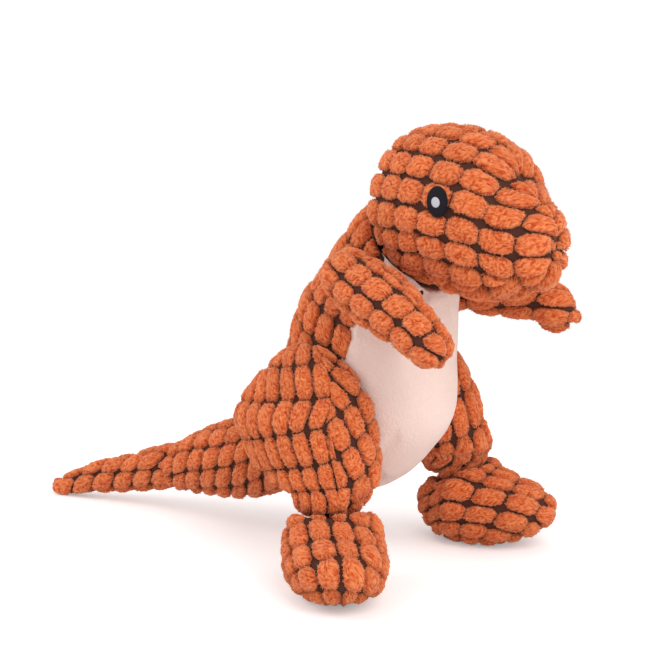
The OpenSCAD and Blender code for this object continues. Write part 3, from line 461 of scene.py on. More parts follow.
def make_tuft():
    """One tuft of pile, 1 long and 1 wide, thin at its root and blunt at its tip."""
    pts = [(0, 0, -0.3)]
    n = 4
    for k in range(n):
        t = 2 * math.pi * k / n
        pts.append((0.5 * math.cos(t), 0.5 * math.sin(t), 0.6))
    pts.append((0, 0, 1.0))
    fs = []
    for k in range(n):
        m = (k + 1) % n
        fs += [(0, 1 + m, 1 + k), (n + 1, 1 + k, 1 + m)]
    mesh = bpy.data.meshes.new("tuft")
    mesh.from_pydata(pts, [], fs)
    mesh.shade_smooth()
    # The pile value, low at the root and high at the tip, paints shade at the tuft's root and light at its
    # tip.
    mesh.attributes.new("pile", "FLOAT", "POINT").data.foreach_set(
        "value", np.array([0.1] + [0.65] * n + [0.9]))
    return bpy.data.objects.new("tuft", mesh)


tuft = make_tuft()


def noise_of(tree, at, scale, **numbers):
    """The outputs of a noise texture in a node tree."""
    return wired(tree, "ShaderNodeTexNoise", {"Vector": at, "Scale": scale, **numbers}).outputs


def moved_by(tree, base, noise, scale):
    """base + (noise - 0.5) * scale"""
    centred = wired(tree, "ShaderNodeVectorMath", {0: noise, 1: (0.5, 0.5, 0.5)}, operation="SUBTRACT")
    scaled = wired(tree, "ShaderNodeVectorMath", {0: centred.outputs[0], "Scale": scale}, operation="SCALE")
    return wired(tree, "ShaderNodeVectorMath", {0: base, 1: scaled.outputs[0]}).outputs[0]


def curls(tree, at, size):
    """Curly pile seen from above: 1 on the crown of each curl, down to 0 in the creases."""
    bent = moved_by(tree, at, noise_of(tree, at, 0.45, Detail=1.0)["Color"], 2.6)
    cell = wired(tree, "ShaderNodeTexVoronoi", {"Vector": bent, "Scale": size, "Smoothness": 0.35},
                 feature="SMOOTH_F1")
    return maths(tree, "SUBTRACT", 1.0, maths(tree, "MULTIPLY", cell.outputs["Distance"], 1.35))


def make_pile_tree():
    """Curls the pads, stands loose tufts on them, and clothes both in plush."""
    tree = bpy.data.node_groups.new("pile", "GeometryNodeTree")
    face = tree.interface
    face.new_socket("Pads", in_out="INPUT", socket_type="NodeSocketGeometry")
    wanted = {"Curls per mm": 0.72, "Curl depth": 0.001, "Clump depth": 0.0012,
              "Tufts per square metre": 1200000.0, "Least spacing": 0.0008, "Tuft length": 0.0009,
              "Tuft width": 0.0006, "Tuft spread": 0.6}
    for key, value in wanted.items():
        face.new_socket(key, in_out="INPUT", socket_type="NodeSocketFloat").default_value = value
    face.new_socket("Seed", in_out="INPUT", socket_type="NodeSocketInt").default_value = 3
    face.new_socket("Tuft", in_out="INPUT", socket_type="NodeSocketObject")
    face.new_socket("Plush", in_out="INPUT", socket_type="NodeSocketMaterial")
    face.new_socket("Plush cloth", in_out="OUTPUT", socket_type="NodeSocketGeometry")
    given = tree.nodes.new("NodeGroupInput").outputs

    def made(kind, sockets, **settings):
        return wired(tree, kind, sockets, **settings).outputs[0]

    def named(name, kind="FLOAT"):
        return made("GeometryNodeInputNamedAttribute", {"Name": name}, data_type=kind)

    curl, lean = named("curl", "FLOAT_VECTOR"), named("lean", "FLOAT_VECTOR")
    crown = curls(tree, curl, given["Curls per mm"])
    clump = maths(tree, "SUBTRACT", noise_of(tree, curl, 0.28, Detail=1.0)[0], 0.5)
    push = maths(tree, "MULTIPLY_ADD", maths(tree, "SUBTRACT", crown, 0.6), given["Curl depth"],
                 maths(tree, "MULTIPLY", clump, given["Clump depth"]))
    away = made("ShaderNodeVectorMath", {0: lean, "Scale": maths(tree, "MULTIPLY", push, named("loose"))},
                operation="SCALE")
    # The curls' height is stored as pile; from it the plush paints shade in the creases and light on the
    # crowns.
    kept = made("GeometryNodeStoreNamedAttribute",
                {"Name": "pile", "Geometry": given["Pads"], "Value": crown})
    curled = made("GeometryNodeSetPosition", {"Geometry": kept, "Offset": away})

    roots = made("GeometryNodeDistributePointsOnFaces",
                 {"Mesh": curled, "Distance Min": given["Least spacing"],
                  "Density Max": given["Tufts per square metre"], "Density Factor": named("nap"),
                  "Seed": given["Seed"]}, distribute_method="POISSON")
    stands_at = tree.nodes.new("GeometryNodeInputPosition").outputs[0]
    loose_way = noise_of(tree, stands_at, 500.0, Detail=1.0)["Color"]
    way = moved_by(tree, lean, loose_way, given["Tuft spread"])
    aim = made("FunctionNodeAlignRotationToVector", {"Vector": way}, axis="Z")
    chance = wired(tree, "FunctionNodeRandomValue", {"Min": 0.6, "Max": 1.2, "Seed": given["Seed"]})
    length = maths(tree, "MULTIPLY", given["Tuft length"], chance.outputs["Value"])
    size = made("ShaderNodeCombineXYZ", {0: given["Tuft width"], 1: given["Tuft width"], 2: length})
    shape = wired(tree, "GeometryNodeObjectInfo", {"Object": given["Tuft"]}).outputs["Geometry"]
    tufts = made("GeometryNodeInstanceOnPoints",
                 {"Points": roots, "Instance": shape, "Rotation": aim, "Scale": size})
    both = tree.nodes.new("GeometryNodeJoinGeometry")
    for source in (tufts, curled):
        tree.links.new(source, both.inputs[0])
    real = made("GeometryNodeRealizeInstances", {0: both.outputs[0]})
    clad = made("GeometryNodeSetMaterial", {"Geometry": real, "Material": given["Plush"]})
    plug(tree.nodes.new("NodeGroupOutput"), {0: clad})
    return tree


pile_tree = make_pile_tree()


def grow_pile(pads, material):
    """Curls the pads and grows their loose pile, and leaves one plain mesh."""
    m = pads.modifiers.new("pile", "NODES")
    m.node_group = pile_tree
    given = {"Tuft": tuft, "Plush": material}
    for item in pile_tree.interface.items_tree:
        if item.in_out == "INPUT" and item.name in given:
            m[item.identifier] = given[item.name]
    ready = pads.evaluated_get(bpy.context.evaluated_depsgraph_get())
    mesh = bpy.data.meshes.new_from_object(ready)
    pads.modifiers.clear()
    old = pads.data
    pads.data = mesh
    bpy.data.meshes.remove(old)
    mesh.shade_smooth()
    return pads


def grain_group():
    """Fine knit or short nap: a small height and a soft change of shade."""
    g = bpy.data.node_groups.new("fine nap", "ShaderNodeTree")
    for key, value in {"Grain": 900.0, "Blotch": 60.0}.items():
        g.interface.new_socket(key, in_out="INPUT", socket_type="NodeSocketFloat").default_value = value
    for key in ("Height", "Shade"):
        g.interface.new_socket(key, in_out="OUTPUT", socket_type="NodeSocketFloat")
    given = g.nodes.new("NodeGroupInput").outputs
    spot = g.nodes.new("ShaderNodeTexCoord").outputs["Object"]
    fine = noise_of(g, spot, given["Grain"], Detail=3, Roughness=0.65)[0]
    broad = noise_of(g, spot, given["Blotch"], Detail=2)[0]
    plug(g.nodes.new("NodeGroupOutput"), {"Height": fine, "Shade": broad})
    return g


fine_nap = grain_group()


def dye(tree, shader, shade, dark, light):
    """Colours a shader from dark to light by a shade of 0 to 1."""
    mix = wired(tree, "ShaderNodeMix", {6: dark, 7: light, "Factor": shade}, data_type="RGBA")
    plug(shader, {"Base Color": mix.outputs[2]})


def roughen(tree, shader, height, distance, strength=1.0):
    """Gives a shader a fine relief, as deep as `distance` in metres."""
    relief = wired(tree, "ShaderNodeBump", {"Height": height, "Distance": distance, "Strength": strength})
    plug(shader, {"Normal": relief.outputs[0]})


def cloth_material(name, dark, light, grain, blotch, bump, roughness, sheen, sheen_tint):
    m, t, shader = new_material(name)
    nap = wired(t, "ShaderNodeGroup", {"Grain": grain, "Blotch": blotch}, node_tree=fine_nap).outputs
    soft = maths(t, "MULTIPLY", nap["Shade"], 0.4)
    dye(t, shader, maths(t, "MULTIPLY_ADD", nap["Height"], 0.6, soft), dark, light)
    roughen(t, shader, nap["Height"], bump, 0.8)
    plug(shader, {"Roughness": roughness, "Specular IOR Level": 0.2, "Sheen Weight": sheen,
                  "Sheen Roughness": 0.5, "Sheen Tint": sheen_tint})
    return m


backing = cloth_material("brown backing", srgb(58, 32, 24), srgb(94, 56, 44), 1500, 120, 0.0004, 0.9,
                         0.15, srgb(150, 120, 110))


def plush_material():
    m, t, shader = new_material("curly plush")

    def value(name, output="Fac"):
        return wired(t, "ShaderNodeAttribute", {}, attribute_name=name).outputs[output]

    fine = noise_of(t, value("curl", "Vector"), 2.2, Detail=3.0, Roughness=0.7)[0]
    depth = maths(t, "ADD", value("pile"), maths(t, "MULTIPLY", maths(t, "SUBTRACT", fine, 0.5), 0.35))
    # Painted shade and light: the colour is darker deep in the curls' creases and at the tufts' roots, and
    # lighter on the crowns and at the tips.
    painted_shade_ramp = wired(t, "ShaderNodeValToRGB", {0: depth})
    stops = painted_shade_ramp.color_ramp.elements
    stops[0].position, stops[0].color = 0.02, srgb(184, 66, 28)
    stops[1].position, stops[1].color = 0.95, srgb(234, 152, 104)
    for place, colour in ((0.25, srgb(213, 103, 54)), (0.5, srgb(224, 127, 76))):
        stops.new(place).color = colour
    dull = wired(t, "ShaderNodeMapRange", {"To Min": 0.93, "To Max": 1.05, "Value": value("tint")})
    vary = wired(t, "ShaderNodeHueSaturation", {"Value": dull.outputs[0], "Color": painted_shade_ramp.outputs[0]})
    roughen(t, shader, depth, 0.0005, 0.6)
    plug(shader, {"Base Color": vary.outputs[0], "Roughness": 0.9, "Specular IOR Level": 0.1,
                  "Sheen Weight": 0.5, "Sheen Roughness": 0.5, "Sheen Tint": srgb(255, 214, 188)})
    return m


plush = plush_material()

# ---- Body ----
# An upright pear of padded plush, two back panels sewn to a smooth pale pink belly. The round
# root of each limb is pressed into it. The belly is short-napped plush, stuffed firm.
body_rows = rows([37, 0, 8, 0, 0], [49, 0, 3, 56, 54], [65, 0, 3, 83, 90], [89, 0, -6, 92, 104],
                 [124, 0, -7, 99, 102], [155, 0, -12, 80, 99], [177, 0, -22, 70, 88], [225, 0, -28, 0, 0])
body_axes = [(0, 0, 0), (0, 0, 1), (1, 0, 0), (0, 1, 0)]
neck_ball, chin_height = 43.0, 167.5
tail_middle, tail_ball = np.array((0.0, 69.0, 59.0)), 36.0
arm_right_root = np.array((51.4, -28.0, 178.0))
arm_left_root = np.array((53.4, -28.0, 162.0))
arm_ball = 16.0
belly_half = 72.0
seam = 0.1
# How much wider than its root each seat is, and how the rim rises towards the back
tail_clear, arm_clear, neck_clear = 1.9, 0.7, 1.3
rim_slope, rim_level = 1.2, 2
# How far the belly cloth runs on under the back panels, and how deep its two faces lie
belly_under, belly_face, belly_lining = 5, 0.9, 3.7
# How much fuller than its seams the belly is cut, how hard it is filled, and how far it gives, in mm
belly_fuller, belly_push, belly_gives = 0.025, 4.0, 1.6
# Where one pad stands on a panel's cloth, the step to the next one in its row, and to the next row
back_pads = (119.5, -24), (19, 4), (5.5, 16)


def body_form(s, angle, deep):
    """The body's skin, pressed in by the roots of the tail and the arms."""
    p = skin(body_axes, body_rows, s, angle - 90, deep)
    deep = column(deep)
    p = outside_ball(p, tail_middle, tail_ball + tail_clear + deep)
    p = outside_ball(p, arm_right_root * (-1, 1, 1), arm_ball + arm_clear + deep)
    return outside_ball(p, arm_left_root, arm_ball + arm_clear + deep)


def body_half_width(y, z):
    """How far to the side the body reaches at a depth and a height."""
    r = row_at(body_rows, row_of(body_rows, z))
    q = (y - r[..., 2]) / np.sqrt(np.maximum(r[..., 4], 0.01))
    return np.sqrt(np.maximum(r[..., 3], 0)) * np.sqrt(np.maximum(0, 1 - q * q))


def rim_height(y):
    """Height of the body's rim under the head, which rises towards the back."""
    return chin_height + rim_slope * np.maximum(0, y - neck_middle[1] + rim_level)


def above_neck_rim(p):
    """True where a point lies in the seat of the neck or over the body's rim."""
    near = np.linalg.norm(p - neck_middle, axis=-1) < neck_ball + neck_clear
    return near | (p[..., 2] > rim_height(p[..., 1]))


def clear_of_neck(p):
    """How far a point of the body lies below the head that sits in it."""
    ball = np.linalg.norm(p - neck_middle, axis=-1) - neck_ball - neck_clear
    return np.minimum(ball, rim_height(p[..., 1]) - p[..., 2])


leg_rows = rows([138, 50, -2, 0, 0], [126, 49, -1, 40, 55], [110, 49, 0, 53, 80], [93, 52, 1, 70, 91],
                [65, 57.5, -11, 56, 80], [53.5, 63, -24, 46, 50], [44.5, 63, -24, 37.7, 37.7],
                [35.5, 63, -24, 0, 0])


def clear_of_leg(p, grow=-5.0):
    """How far a point of the body lies outside the haunch that is sewn on it."""
    r, top = row_at(leg_rows, row_of(leg_rows, p[..., 2])), leg_rows[0, 0]
    x = (np.abs(p[..., 0]) - r[..., 1]) / (np.sqrt(np.maximum(r[..., 3], 0.01)) + grow)
    y = (p[..., 1] - r[..., 2]) / (np.sqrt(np.maximum(r[..., 4], 0.01)) + grow)
    out = (np.sqrt(x * x + y * y) - 1) * 30
    return np.where(p[..., 2] > top, np.maximum(out, p[..., 2] - top), out)


def rim_row(angle):
    """Row number at which the body's cloth ends at the neck, for each angle."""
    angle = np.atleast_1d(np.asarray(angle, float))
    low, high = np.full(angle.shape, 3.6), np.full(angle.shape, 6.95)
    for _ in range(18):
        mid = (low + high) / 2
        over = above_neck_rim(skin(body_axes, body_rows, mid, angle - 90, np.zeros(angle.shape)))
        high = np.where(over, mid, high)
        low = np.where(over, low, mid)
    return low


def body_grid(low, high, around, deep, wall, lid, crown=0.0, roll=0.0):
    """Rows of points up the body's cloth, over its rolled rim, and `lid` of the way down into the round
    seat of the neck."""
    a = np.linspace(low, high, around)
    k = 0.5 - 0.5 * np.cos(np.linspace(0, math.pi, wall))
    s = 0.04 + (rim_row(a)[None] - 0.04) * k[:, None]
    angles = np.broadcast_to(a[None], s.shape)
    edge = np.minimum(np.abs(angles - low), np.abs(high - angles)) / 6
    rounded = 2 * roll * (np.clip(k - 0.88, 0, 1) / 0.12)[:, None] ** 2
    up_wall = body_form(s, angles, deep + crown * np.exp(-edge ** 2) + rounded)
    up_wall[..., 2] += roll * (np.clip(k - 0.93, 0, 1) / 0.07)[:, None] ** 2
    v = up_wall[-1] - neck_middle
    far = np.linalg.norm(v, axis=1, keepdims=True)
    inward = np.array((0, 0.6, -0.8))
    rings = []
    for t in np.linspace(0, lid, 13)[1:]:
        way = v / far * (1 - t) + inward * t
        way /= np.linalg.norm(way, axis=1, keepdims=True)
        rings.append(neck_middle + way * (far + (neck_ball + 1.6 + 0.35 * deep - far) * min(1, 6 * t)))
    return np.concatenate([up_wall, np.array(rings)])


def sheet_of(name, outer, inner, side, material):
    """A closed sheet of cloth between two like grids of points."""
    along, around = outer.shape[:2]
    n = around * along
    faces = []
    for f in quads(along, around):
        faces += [f, tuple(i + n for i in f[::-1])]
    rim = (list(range(around)) + [x * around + around - 1 for x in range(1, along)]
           + [(along - 1) * around + y for y in range(around - 2, -1, -1)]
           + [x * around for x in range(along - 2, 0, -1)])
    for i, r in enumerate(rim):
        q = rim[(i + 1) % len(rim)]
        faces.append((q, r, r + n, q + n))
    pts = np.vstack([outer.reshape(-1, 3), inner.reshape(-1, 3)])
    piece = new_piece(name, metres(pts, side), faces, material)
    turn_out(piece)
    return piece


def filled_out(grid, fuller, push, most):
    """A grid of cloth sewn down all round, cut fuller than its seams and pushed out by the filling."""
    along, around = grid.shape[:2]
    faces = quads(along, around)
    piece = new_piece("filling_out", metres(grid.reshape(-1, 3)), faces, None)
    if (np.array(piece.data.polygons[len(faces) // 2].normal) * (0, -1, 0)).sum() < 0:
        piece.data.flip_normals()
    x, y = np.divmod(np.arange(along * around), around)
    sewn = (x < 3) | (x > along - 4) | (y < 3) | (y > around - 4)
    piece.vertex_groups.new(name="sewn").add([int(i) for i in np.nonzero(sewn)[0]], 1.0, "REPLACE")
    cloth = piece.modifiers.new("cloth", "CLOTH")
    cloth.settings.quality = 6
    cloth.settings.vertex_group_mass = "sewn"
    cloth.settings.use_pressure = True
    cloth.settings.uniform_pressure_force = push
    cloth.settings.shrink_min = -fuller
    cloth.settings.bending_stiffness = 0.3
    cloth.settings.effector_weights.gravity = 0
    cloth.collision_settings.use_collision = False
    last_frame = 20
    cloth.point_cache.frame_start, cloth.point_cache.frame_end = 1, last_frame
    scene = bpy.context.scene
    for frame_number in range(1, last_frame + 1):
        scene.frame_set(frame_number)
    ready = piece.evaluated_get(bpy.context.evaluated_depsgraph_get()).to_mesh()
    after = np.array([v.co for v in ready.vertices]) * 1000 - set_down
    piece.modifiers.clear()
    bpy.data.objects.remove(piece)
    scene.frame_set(1)
    moved = after - grid.reshape(-1, 3)
    size = np.linalg.norm(moved, axis=1, keepdims=True)
    moved *= np.minimum(1, most / np.maximum(size, 1e-6))
    return (grid.reshape(-1, 3) + moved).reshape(grid.shape)


pink_plush = cloth_material("pink plush", srgb(234, 199, 186), srgb(247, 228, 220), 700, 45, 0.0009, 0.9,
                            0.5, srgb(255, 235, 228))
belly_reach = belly_half + belly_under
belly_outside = body_grid(-belly_reach, belly_reach, 97, belly_face, 97, 0.5, crown=2.3, roll=1.3)
belly_outside[:97] = filled_out(belly_outside[:97], belly_fuller, belly_push, belly_gives)
belly_inside = body_grid(-belly_reach, belly_reach, 97, belly_lining, 97, 0.5, roll=1)
belly = sheet_of("belly_cloth", belly_outside, belly_inside, 1, pink_plush)
body_backing = closed_rings("body_backing", body_grid(-180, 180, 145, backing_depth, 97, 0.97)[:, :-1], 1,
                            backing)
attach(belly, "body")
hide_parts("belly_panel", "body_stuffing")
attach(body_backing, "body")

for side, word in ((-1, "right"), (1, "left")):
    cloth = Cloth(body_form, (0.15, 6.9), 126, lambda s: belly_half + seam, lambda s: 180 - seam)
    pads = quilt(f"body_pads_{word}", cloth, *back_pads, side, bend=(0.5, -1.5),
                 seats=[(neck_middle, neck_ball + 1.2)], seed=5,
                 room_at=lambda p: np.minimum(clear_of_leg(p), clear_of_neck(p)))
    grow_pile(pads, plush)
    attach(pads, "body")
    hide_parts(f"back_panel_{word}")

# ---- Haunches ----
# Each haunch and shin is one padded form of an outer and an inner front panel, sewn down its
# front and stitched to the body's side all round.
leg_axes = [(0, 0, 0), (0, 0, 1), (1, 0, 0), (0, 1, 0)]
ankle_middle, ankle_ball = np.array((63.0, -24.0, 60.0)), 24.5
thigh_seam = 38.0
# How far round the pads of the front run over the seam, whose pile closes over it
over_seam = 6
haunch_pads = (26.5, -15.5), (21, -12), (2.5, 11)
front_pads = {"right": ((38, 16.5), (17.5, -7.5), (7, 10.5)),
              "left": ((72.5, -11.5), (26, -3), (-3.5, 12.5))}


def leg_form(s, angle, deep):
    """The haunch's skin, its shin rounded off for the foot, its inner side flat on the body."""
    p = skin(leg_axes, leg_rows, s, angle - 90, deep)
    q = inside_ball(p, ankle_middle, ankle_ball - column(deep))
    p = np.where(p[..., 2:3] < ankle_middle[2], q, p)
    x = np.maximum(p[..., 0], body_half_width(p[..., 1], p[..., 2]) + 1.1)
    return np.stack([x, p[..., 1], p[..., 2]], -1)


def back_edge(s):
    """Angle at which the haunch meets the body behind, for each row."""
    return np.interp(s, [0, 0.5, 1.5, 2.5, 4, 4.5, 5], [200, 204, 211, 219, 220, 232, 235])


def front_edge(s):
    """Angle at which the haunch meets the body in front, for each row."""
    return np.interp(s, [0, 0.5, 1, 2, 3, 3.5, 4, 4.5, 5], [0, -7, -8, -19, -25, -40, -66, -103, -125])


for side, word in ((-1, "right"), (1, "left")):
    ground = tube(f"leg_backing_{word}", leg_form, 0.02, 6.98, backing_depth, side, backing)
    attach(ground, "body")
    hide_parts(f"thigh_stuffing_{word}")
    outer = Cloth(leg_form, (0.05, 6.9), 100, lambda s: thigh_seam + seam,
                  lambda s: back_edge(s) - seam)
    pads = quilt(f"haunch_pads_{word}", outer, *haunch_pads, side, bend=(0, 3.5), smallest=0.25, seed=7)
    grow_pile(pads, plush)
    inner = Cloth(leg_form, (0.05, 6.9), 0, lambda s: front_edge(s) + seam,
                  lambda s: thigh_seam + over_seam)
    front = quilt(f"haunch_front_pads_{word}", inner, *front_pads[word], side, smallest=0.2, seed=8)
    grow_pile(front, plush)
    for piece, node in ((pads, "thigh_outer"), (front, "thigh_inner")):
        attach(piece, "body")
        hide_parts(f"{node}_{word}")

# ---- Feet ----
# A long padded foot with a flat sewn sole. The shin sits in a round crease on top of it.
foot_rows = rows([-25, 0, 21, 0, 0], [-5, 0, 21.5, 40, 44], [8, 0, 24.2, 58, 49.5],
                 [26, 0, 22.7, 58, 46.5], [50, 0, 22.25, 48, 34.5], [64, 0, 23.5, 26, 23],
                 [70, 0, 23.5, 0, 0])
# How far each foot points outwards, the way its cloth is draped from, and its pads
foot_set = {"right": (44, (0.64, 0, 0.77), (9, 11.5), (18.5, -0.5), (2.5, -14)),
            "left": (10, (0.35, -0.7, 0.6), (-47, -18.5), (22, 1.5), (3.5, 12.5))}


class Dome:
    """Lengths over a form as a cloth draped from one spot: turned by an angle, and that far away."""

    def __init__(self, form, hem_at):
        self.form = form
        self.turns, self.swings = np.arange(0, 363, 3.0), np.linspace(0, 178, 179)
        p = form(*np.meshgrid(self.turns, self.swings, indexing="ij"), 1.2)
        run = np.zeros(p.shape[:2])
        run[:, 1:] = np.cumsum(np.linalg.norm(np.diff(p, axis=1), axis=2), axis=1)
        self.far = np.linspace(0, 160, 161)
        self.table = np.array([np.interp(self.far, r + np.arange(179) * 1e-6, self.swings) for r in run])
        low = hem_at(p)
        self.hem = np.array([r[w][0] if w.any() else r[-1] for r, w in zip(run, low)])

    def room(self, u, v):
        return np.interp(np.degrees(np.arctan2(v, u)) % 360, self.turns, self.hem) - np.hypot(u, v)

    def at(self, u, v):
        turn_by = np.degrees(np.arctan2(v, u)) % 360
        far = np.minimum(np.hypot(u, v), np.interp(turn_by, self.turns, self.hem))
        x, y = np.clip(turn_by / 3, 0, 119.999), np.clip(far, 0, 159.999)
        return turn_by, between(self.table, x, y)


foot_line = row_at(foot_rows, np.linspace(0, 6, 301))
# How square the foot's section is: 2 is round
boxy = 2.6
# The crease round the shin: how far out of its middle and how broad it is, and how much the cloth lifts
crease_out, crease_broad, crease_lift = 24, 6, 4.5
# The middle that the rays start from, ahead of the ankle and over the floor
ray_ahead, ray_up = 24, 19


def foot_forms(out_degrees, draped_from):
    """The foot's skin by rows from heel to toe, and by rays out of its middle, round the way its cloth is
    draped from: so much ahead, aside and up."""
    t = math.radians(out_degrees)
    ahead, aside = np.array((math.sin(t), -math.cos(t), 0)), np.array((math.cos(t), math.sin(t), 0))
    heel, upward = ankle_middle * (1, 1, 0), np.array((0.0, 0.0, 1.0))
    top = draped_from[0] * ahead + draped_from[1] * aside + draped_from[2] * upward
    top /= np.linalg.norm(top)
    first = ahead - (ahead * top).sum() * top
    first /= np.linalg.norm(first)
    second = np.cross(top, first)

    def settled(p, deep):
        """Pressed by the shin that sits on it, and flat where it stands."""
        deep = column(deep)
        around = np.hypot(p[..., 0] - heel[0], p[..., 1] - heel[1])
        crease = np.exp(-((around - crease_out) / crease_broad) ** 2)
        raised = p[..., 2] + crease_lift * crease * np.clip((p[..., 2] - 22) / 14, 0, 1)
        p = np.stack([p[..., 0], p[..., 1], raised], -1)
        p = outside_ball(p, ankle_middle, ankle_ball + 1.4 + 0.3 * deep)
        floor_at = np.maximum(p[..., 2], 0.3 + 0.12 * (deep[..., 0] if np.ndim(deep) else deep))
        return np.stack([p[..., 0], p[..., 1], floor_at], -1)

    def by_rows(s, angle, deep):
        c, d = np.abs(np.cos(np.radians(angle))), np.abs(np.sin(np.radians(angle)))
        p = skin([heel, ahead, aside, upward], foot_rows, s, angle, deep)
        middle = heel + ((p - heel) * ahead).sum(-1, keepdims=True) * ahead
        middle = middle + upward * row_at(foot_rows, s)[..., 2:3]
        return settled(middle + (p - middle) * ((c ** boxy + d ** boxy) ** (-1 / boxy))[..., None], deep)

    def by_rays(turned, swung, deep):
        f, g = np.radians(swung)[..., None], np.radians(turned)[..., None]
        way = np.cos(f) * top + np.sin(f) * (np.cos(g) * first + np.sin(g) * second)
        near, far = np.zeros(way.shape[:-1]), np.full(way.shape[:-1], 90.0)
        heel_end, toe_end = foot_rows[0, 0], foot_rows[-1, 0]
        half_way, shrink = (heel_end + toe_end) / 2, 1 - 2 * deep / (toe_end - heel_end)
        for _ in range(20):
            mid = (near + far) / 2
            step = np.stack([(way * ahead).sum(-1), (way * aside).sum(-1), way[..., 2]], -1)
            q = np.array((ray_ahead, 0.0, ray_up)) + step * mid[..., None]
            x = half_way + (q[..., 0] - half_way) / shrink
            up_at, wide, tall = (np.interp(x, foot_line[:, 0], foot_line[:, k]) for k in (2, 3, 4))
            wide, tall = half_size(wide, deep), half_size(tall, deep)
            inside = (np.abs(q[..., 1]) / wide) ** boxy + (np.abs(q[..., 2] - up_at) / tall) ** boxy < 1
            inside &= (x > heel_end) & (x < toe_end)
            near, far = np.where(inside, mid, near), np.where(inside, far, mid)
        return settled(heel + ray_ahead * ahead + ray_up * upward + way * near[..., None], deep)

    return by_rows, by_rays


for side, word in ((-1, "right"), (1, "left")):
    out_degrees, draped_from, *foot_pads = foot_set[word]
    form, ray_form = foot_forms(out_degrees, draped_from)
    ground = tube(f"foot_backing_{word}", form, 0.02, 5.98, backing_depth, side, backing)
    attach(ground, f"foot_{word}")
    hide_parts(f"foot_stuffing_{word}", f"sole_{word}")
    cloth = Dome(ray_form, lambda p: p[..., 2] < 0.9)
    pads = quilt(f"foot_pads_{word}", cloth, *foot_pads, side, seed=9,
                 seats=[(ankle_middle, ankle_ball + 1)],
                 room_at=lambda p: np.linalg.norm(p - ankle_middle, axis=-1) - ankle_ball - 2.9)
    grow_pile(pads, plush)
    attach(pads, f"foot_{word}")
    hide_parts(f"foot_upper_{word}")

# ---- Tail ----
# A long taper of padded plush in two halves, seamed along its top and its underside, resting on
# the floor. Its round root sits in the body, and its tip bends a little to one side.
tail_rows = rows([31, 0, 63, 0, 0], [42, 0, 63, 44.8, 44.8], [51, 0, 63, 56, 56], [81, 0, 49, 52, 57],
                 [123, 0, 38.5, 41, 44], [149, 0, 30, 31, 31])
tail_axes = [(0, 0, 0), (0, 1, 0), (1, 0, 0), (0, 0, 1)]
tip_rows = rows([139.2, 0, 29, 0, 0], [155, 0, 29, 30, 30], [184, -2.8, 21.5, 25, 27],
                [215, -9.1, 14.5, 18, 21], [238, -15.3, 7.2, 12, 14], [250, -19, 6, 0, 0])
tip_middle, tip_ball = np.array((0.0, 155.0, 29.0)), 15.8
tail_pads = (44, -10.5), (-8, 16), (15.5, -0.5)
tip_pads = {"right": ((9, 6.5), (-8, -13), (18, -1)), "left": ((9, -6.5), (-8, 13), (18, 1))}


def tail_form(s, angle, deep):
    """The tail's skin, its root rounded off."""
    r = row_at(tail_rows, s)
    wide, tall = half_size(r[..., 3], deep), half_size(r[..., 4], deep)
    t = np.radians(angle)
    p = np.stack([wide * np.cos(t), r[..., 0], r[..., 2] + tall * np.sin(t)], -1)
    q = inside_ball(p, tail_middle, tail_ball - column(deep))
    return np.where(p[..., 1:2] < tail_middle[1], q, p)


def tip_form(s, angle, deep):
    """The tip's skin, its root rounded off and its cloth thinner towards the point."""
    deep = np.minimum(deep, 4.2 - 0.75 * np.maximum(0, s - 2))
    p = skin(tail_axes, tip_rows, s, angle, deep)
    q = inside_ball(p, tip_middle, tip_ball - column(deep))
    return np.where(p[..., 1:2] < tip_middle[1], q, p)


tail_ground = tube("tail_backing", tail_form, 0.3, 5.0, backing_depth, 1, backing)
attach(tail_ground, "tail")
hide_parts("tail_stuffing")
tip_ground = tube("tail_tip_backing", tip_form, 0.02, 4.98, backing_depth, 1, backing)
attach(tip_ground, "tail_tip")
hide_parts("tail_tip_stuffing")
for side, word in ((-1, "right"), (1, "left")):
    cloth = Cloth(tail_form, (0.8, 5.0), 0, lambda s: -90 + seam, lambda s: 90 - seam)
    pads = quilt(f"tail_pads_{word}", cloth, *tail_pads, side, bend=(2, -0.5), seed=11)
    grow_pile(pads, plush)
    low, high = (90, 270) if side < 0 else (-90, 90)
    cloth = Cloth(tip_form, (0.3, 4.95), (low + high) / 2, lambda s, low=low: low + seam,
                  lambda s, high=high: high - seam)
    end_pads = quilt(f"tail_tip_pads_{word}", cloth, *tip_pads[word], seed=12)
    grow_pile(end_pads, plush)
    for piece, body, node in ((pads, "tail", "tail_panel"), (end_pads, "tail_tip", "tail_tip")):
        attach(piece, body)
        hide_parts(f"{node}_{word}")

# ---- Arms ----
# Short padded arms, two panels each, with a round root pressed to the shoulder. The right one
# hangs forwards and down, the left one reaches forwards.
arm_pads = {"right": ((33, -13), (16.5, 0.5), (-2.5, 15)),
            "left": ((43.5, -24.5), (22.5, 9.5), (1, 15.5))}


def arm_form_of(root, pitch, yaw, sag):
    """An arm hanging down by `pitch` and turned in by `yaw`, in degrees, its middle sinking by `sag`."""
    t, y = math.radians(pitch), math.radians(yaw)
    along = np.array((math.cos(t) * math.sin(y), -math.cos(t) * math.cos(y), -math.sin(t)))
    aside = np.array((math.cos(y), math.sin(y), 0.0))
    axes = [root, along, aside, -np.cross(along, aside)]
    q = rows([-16, 0, 0, 0, 0], [0, 0, 0, 32, 32], [27, 1, -sag, 36, 36], [55, 0.5, -sag, 30, 30],
             [73, 0, -sag / 3, 27, 27], [85, 0, 0, 0, 0])

    def arm_form(s, angle, deep):
        p = skin(axes, q, s, angle, deep)
        v = p - root
        d = np.linalg.norm(v, axis=-1, keepdims=True)
        deep = column(deep)
        behind = (v * along).sum(-1, keepdims=True) <= 0
        return np.where(behind, root + v / np.maximum(d, 0.01) * (arm_ball - deep), p)

    return arm_form


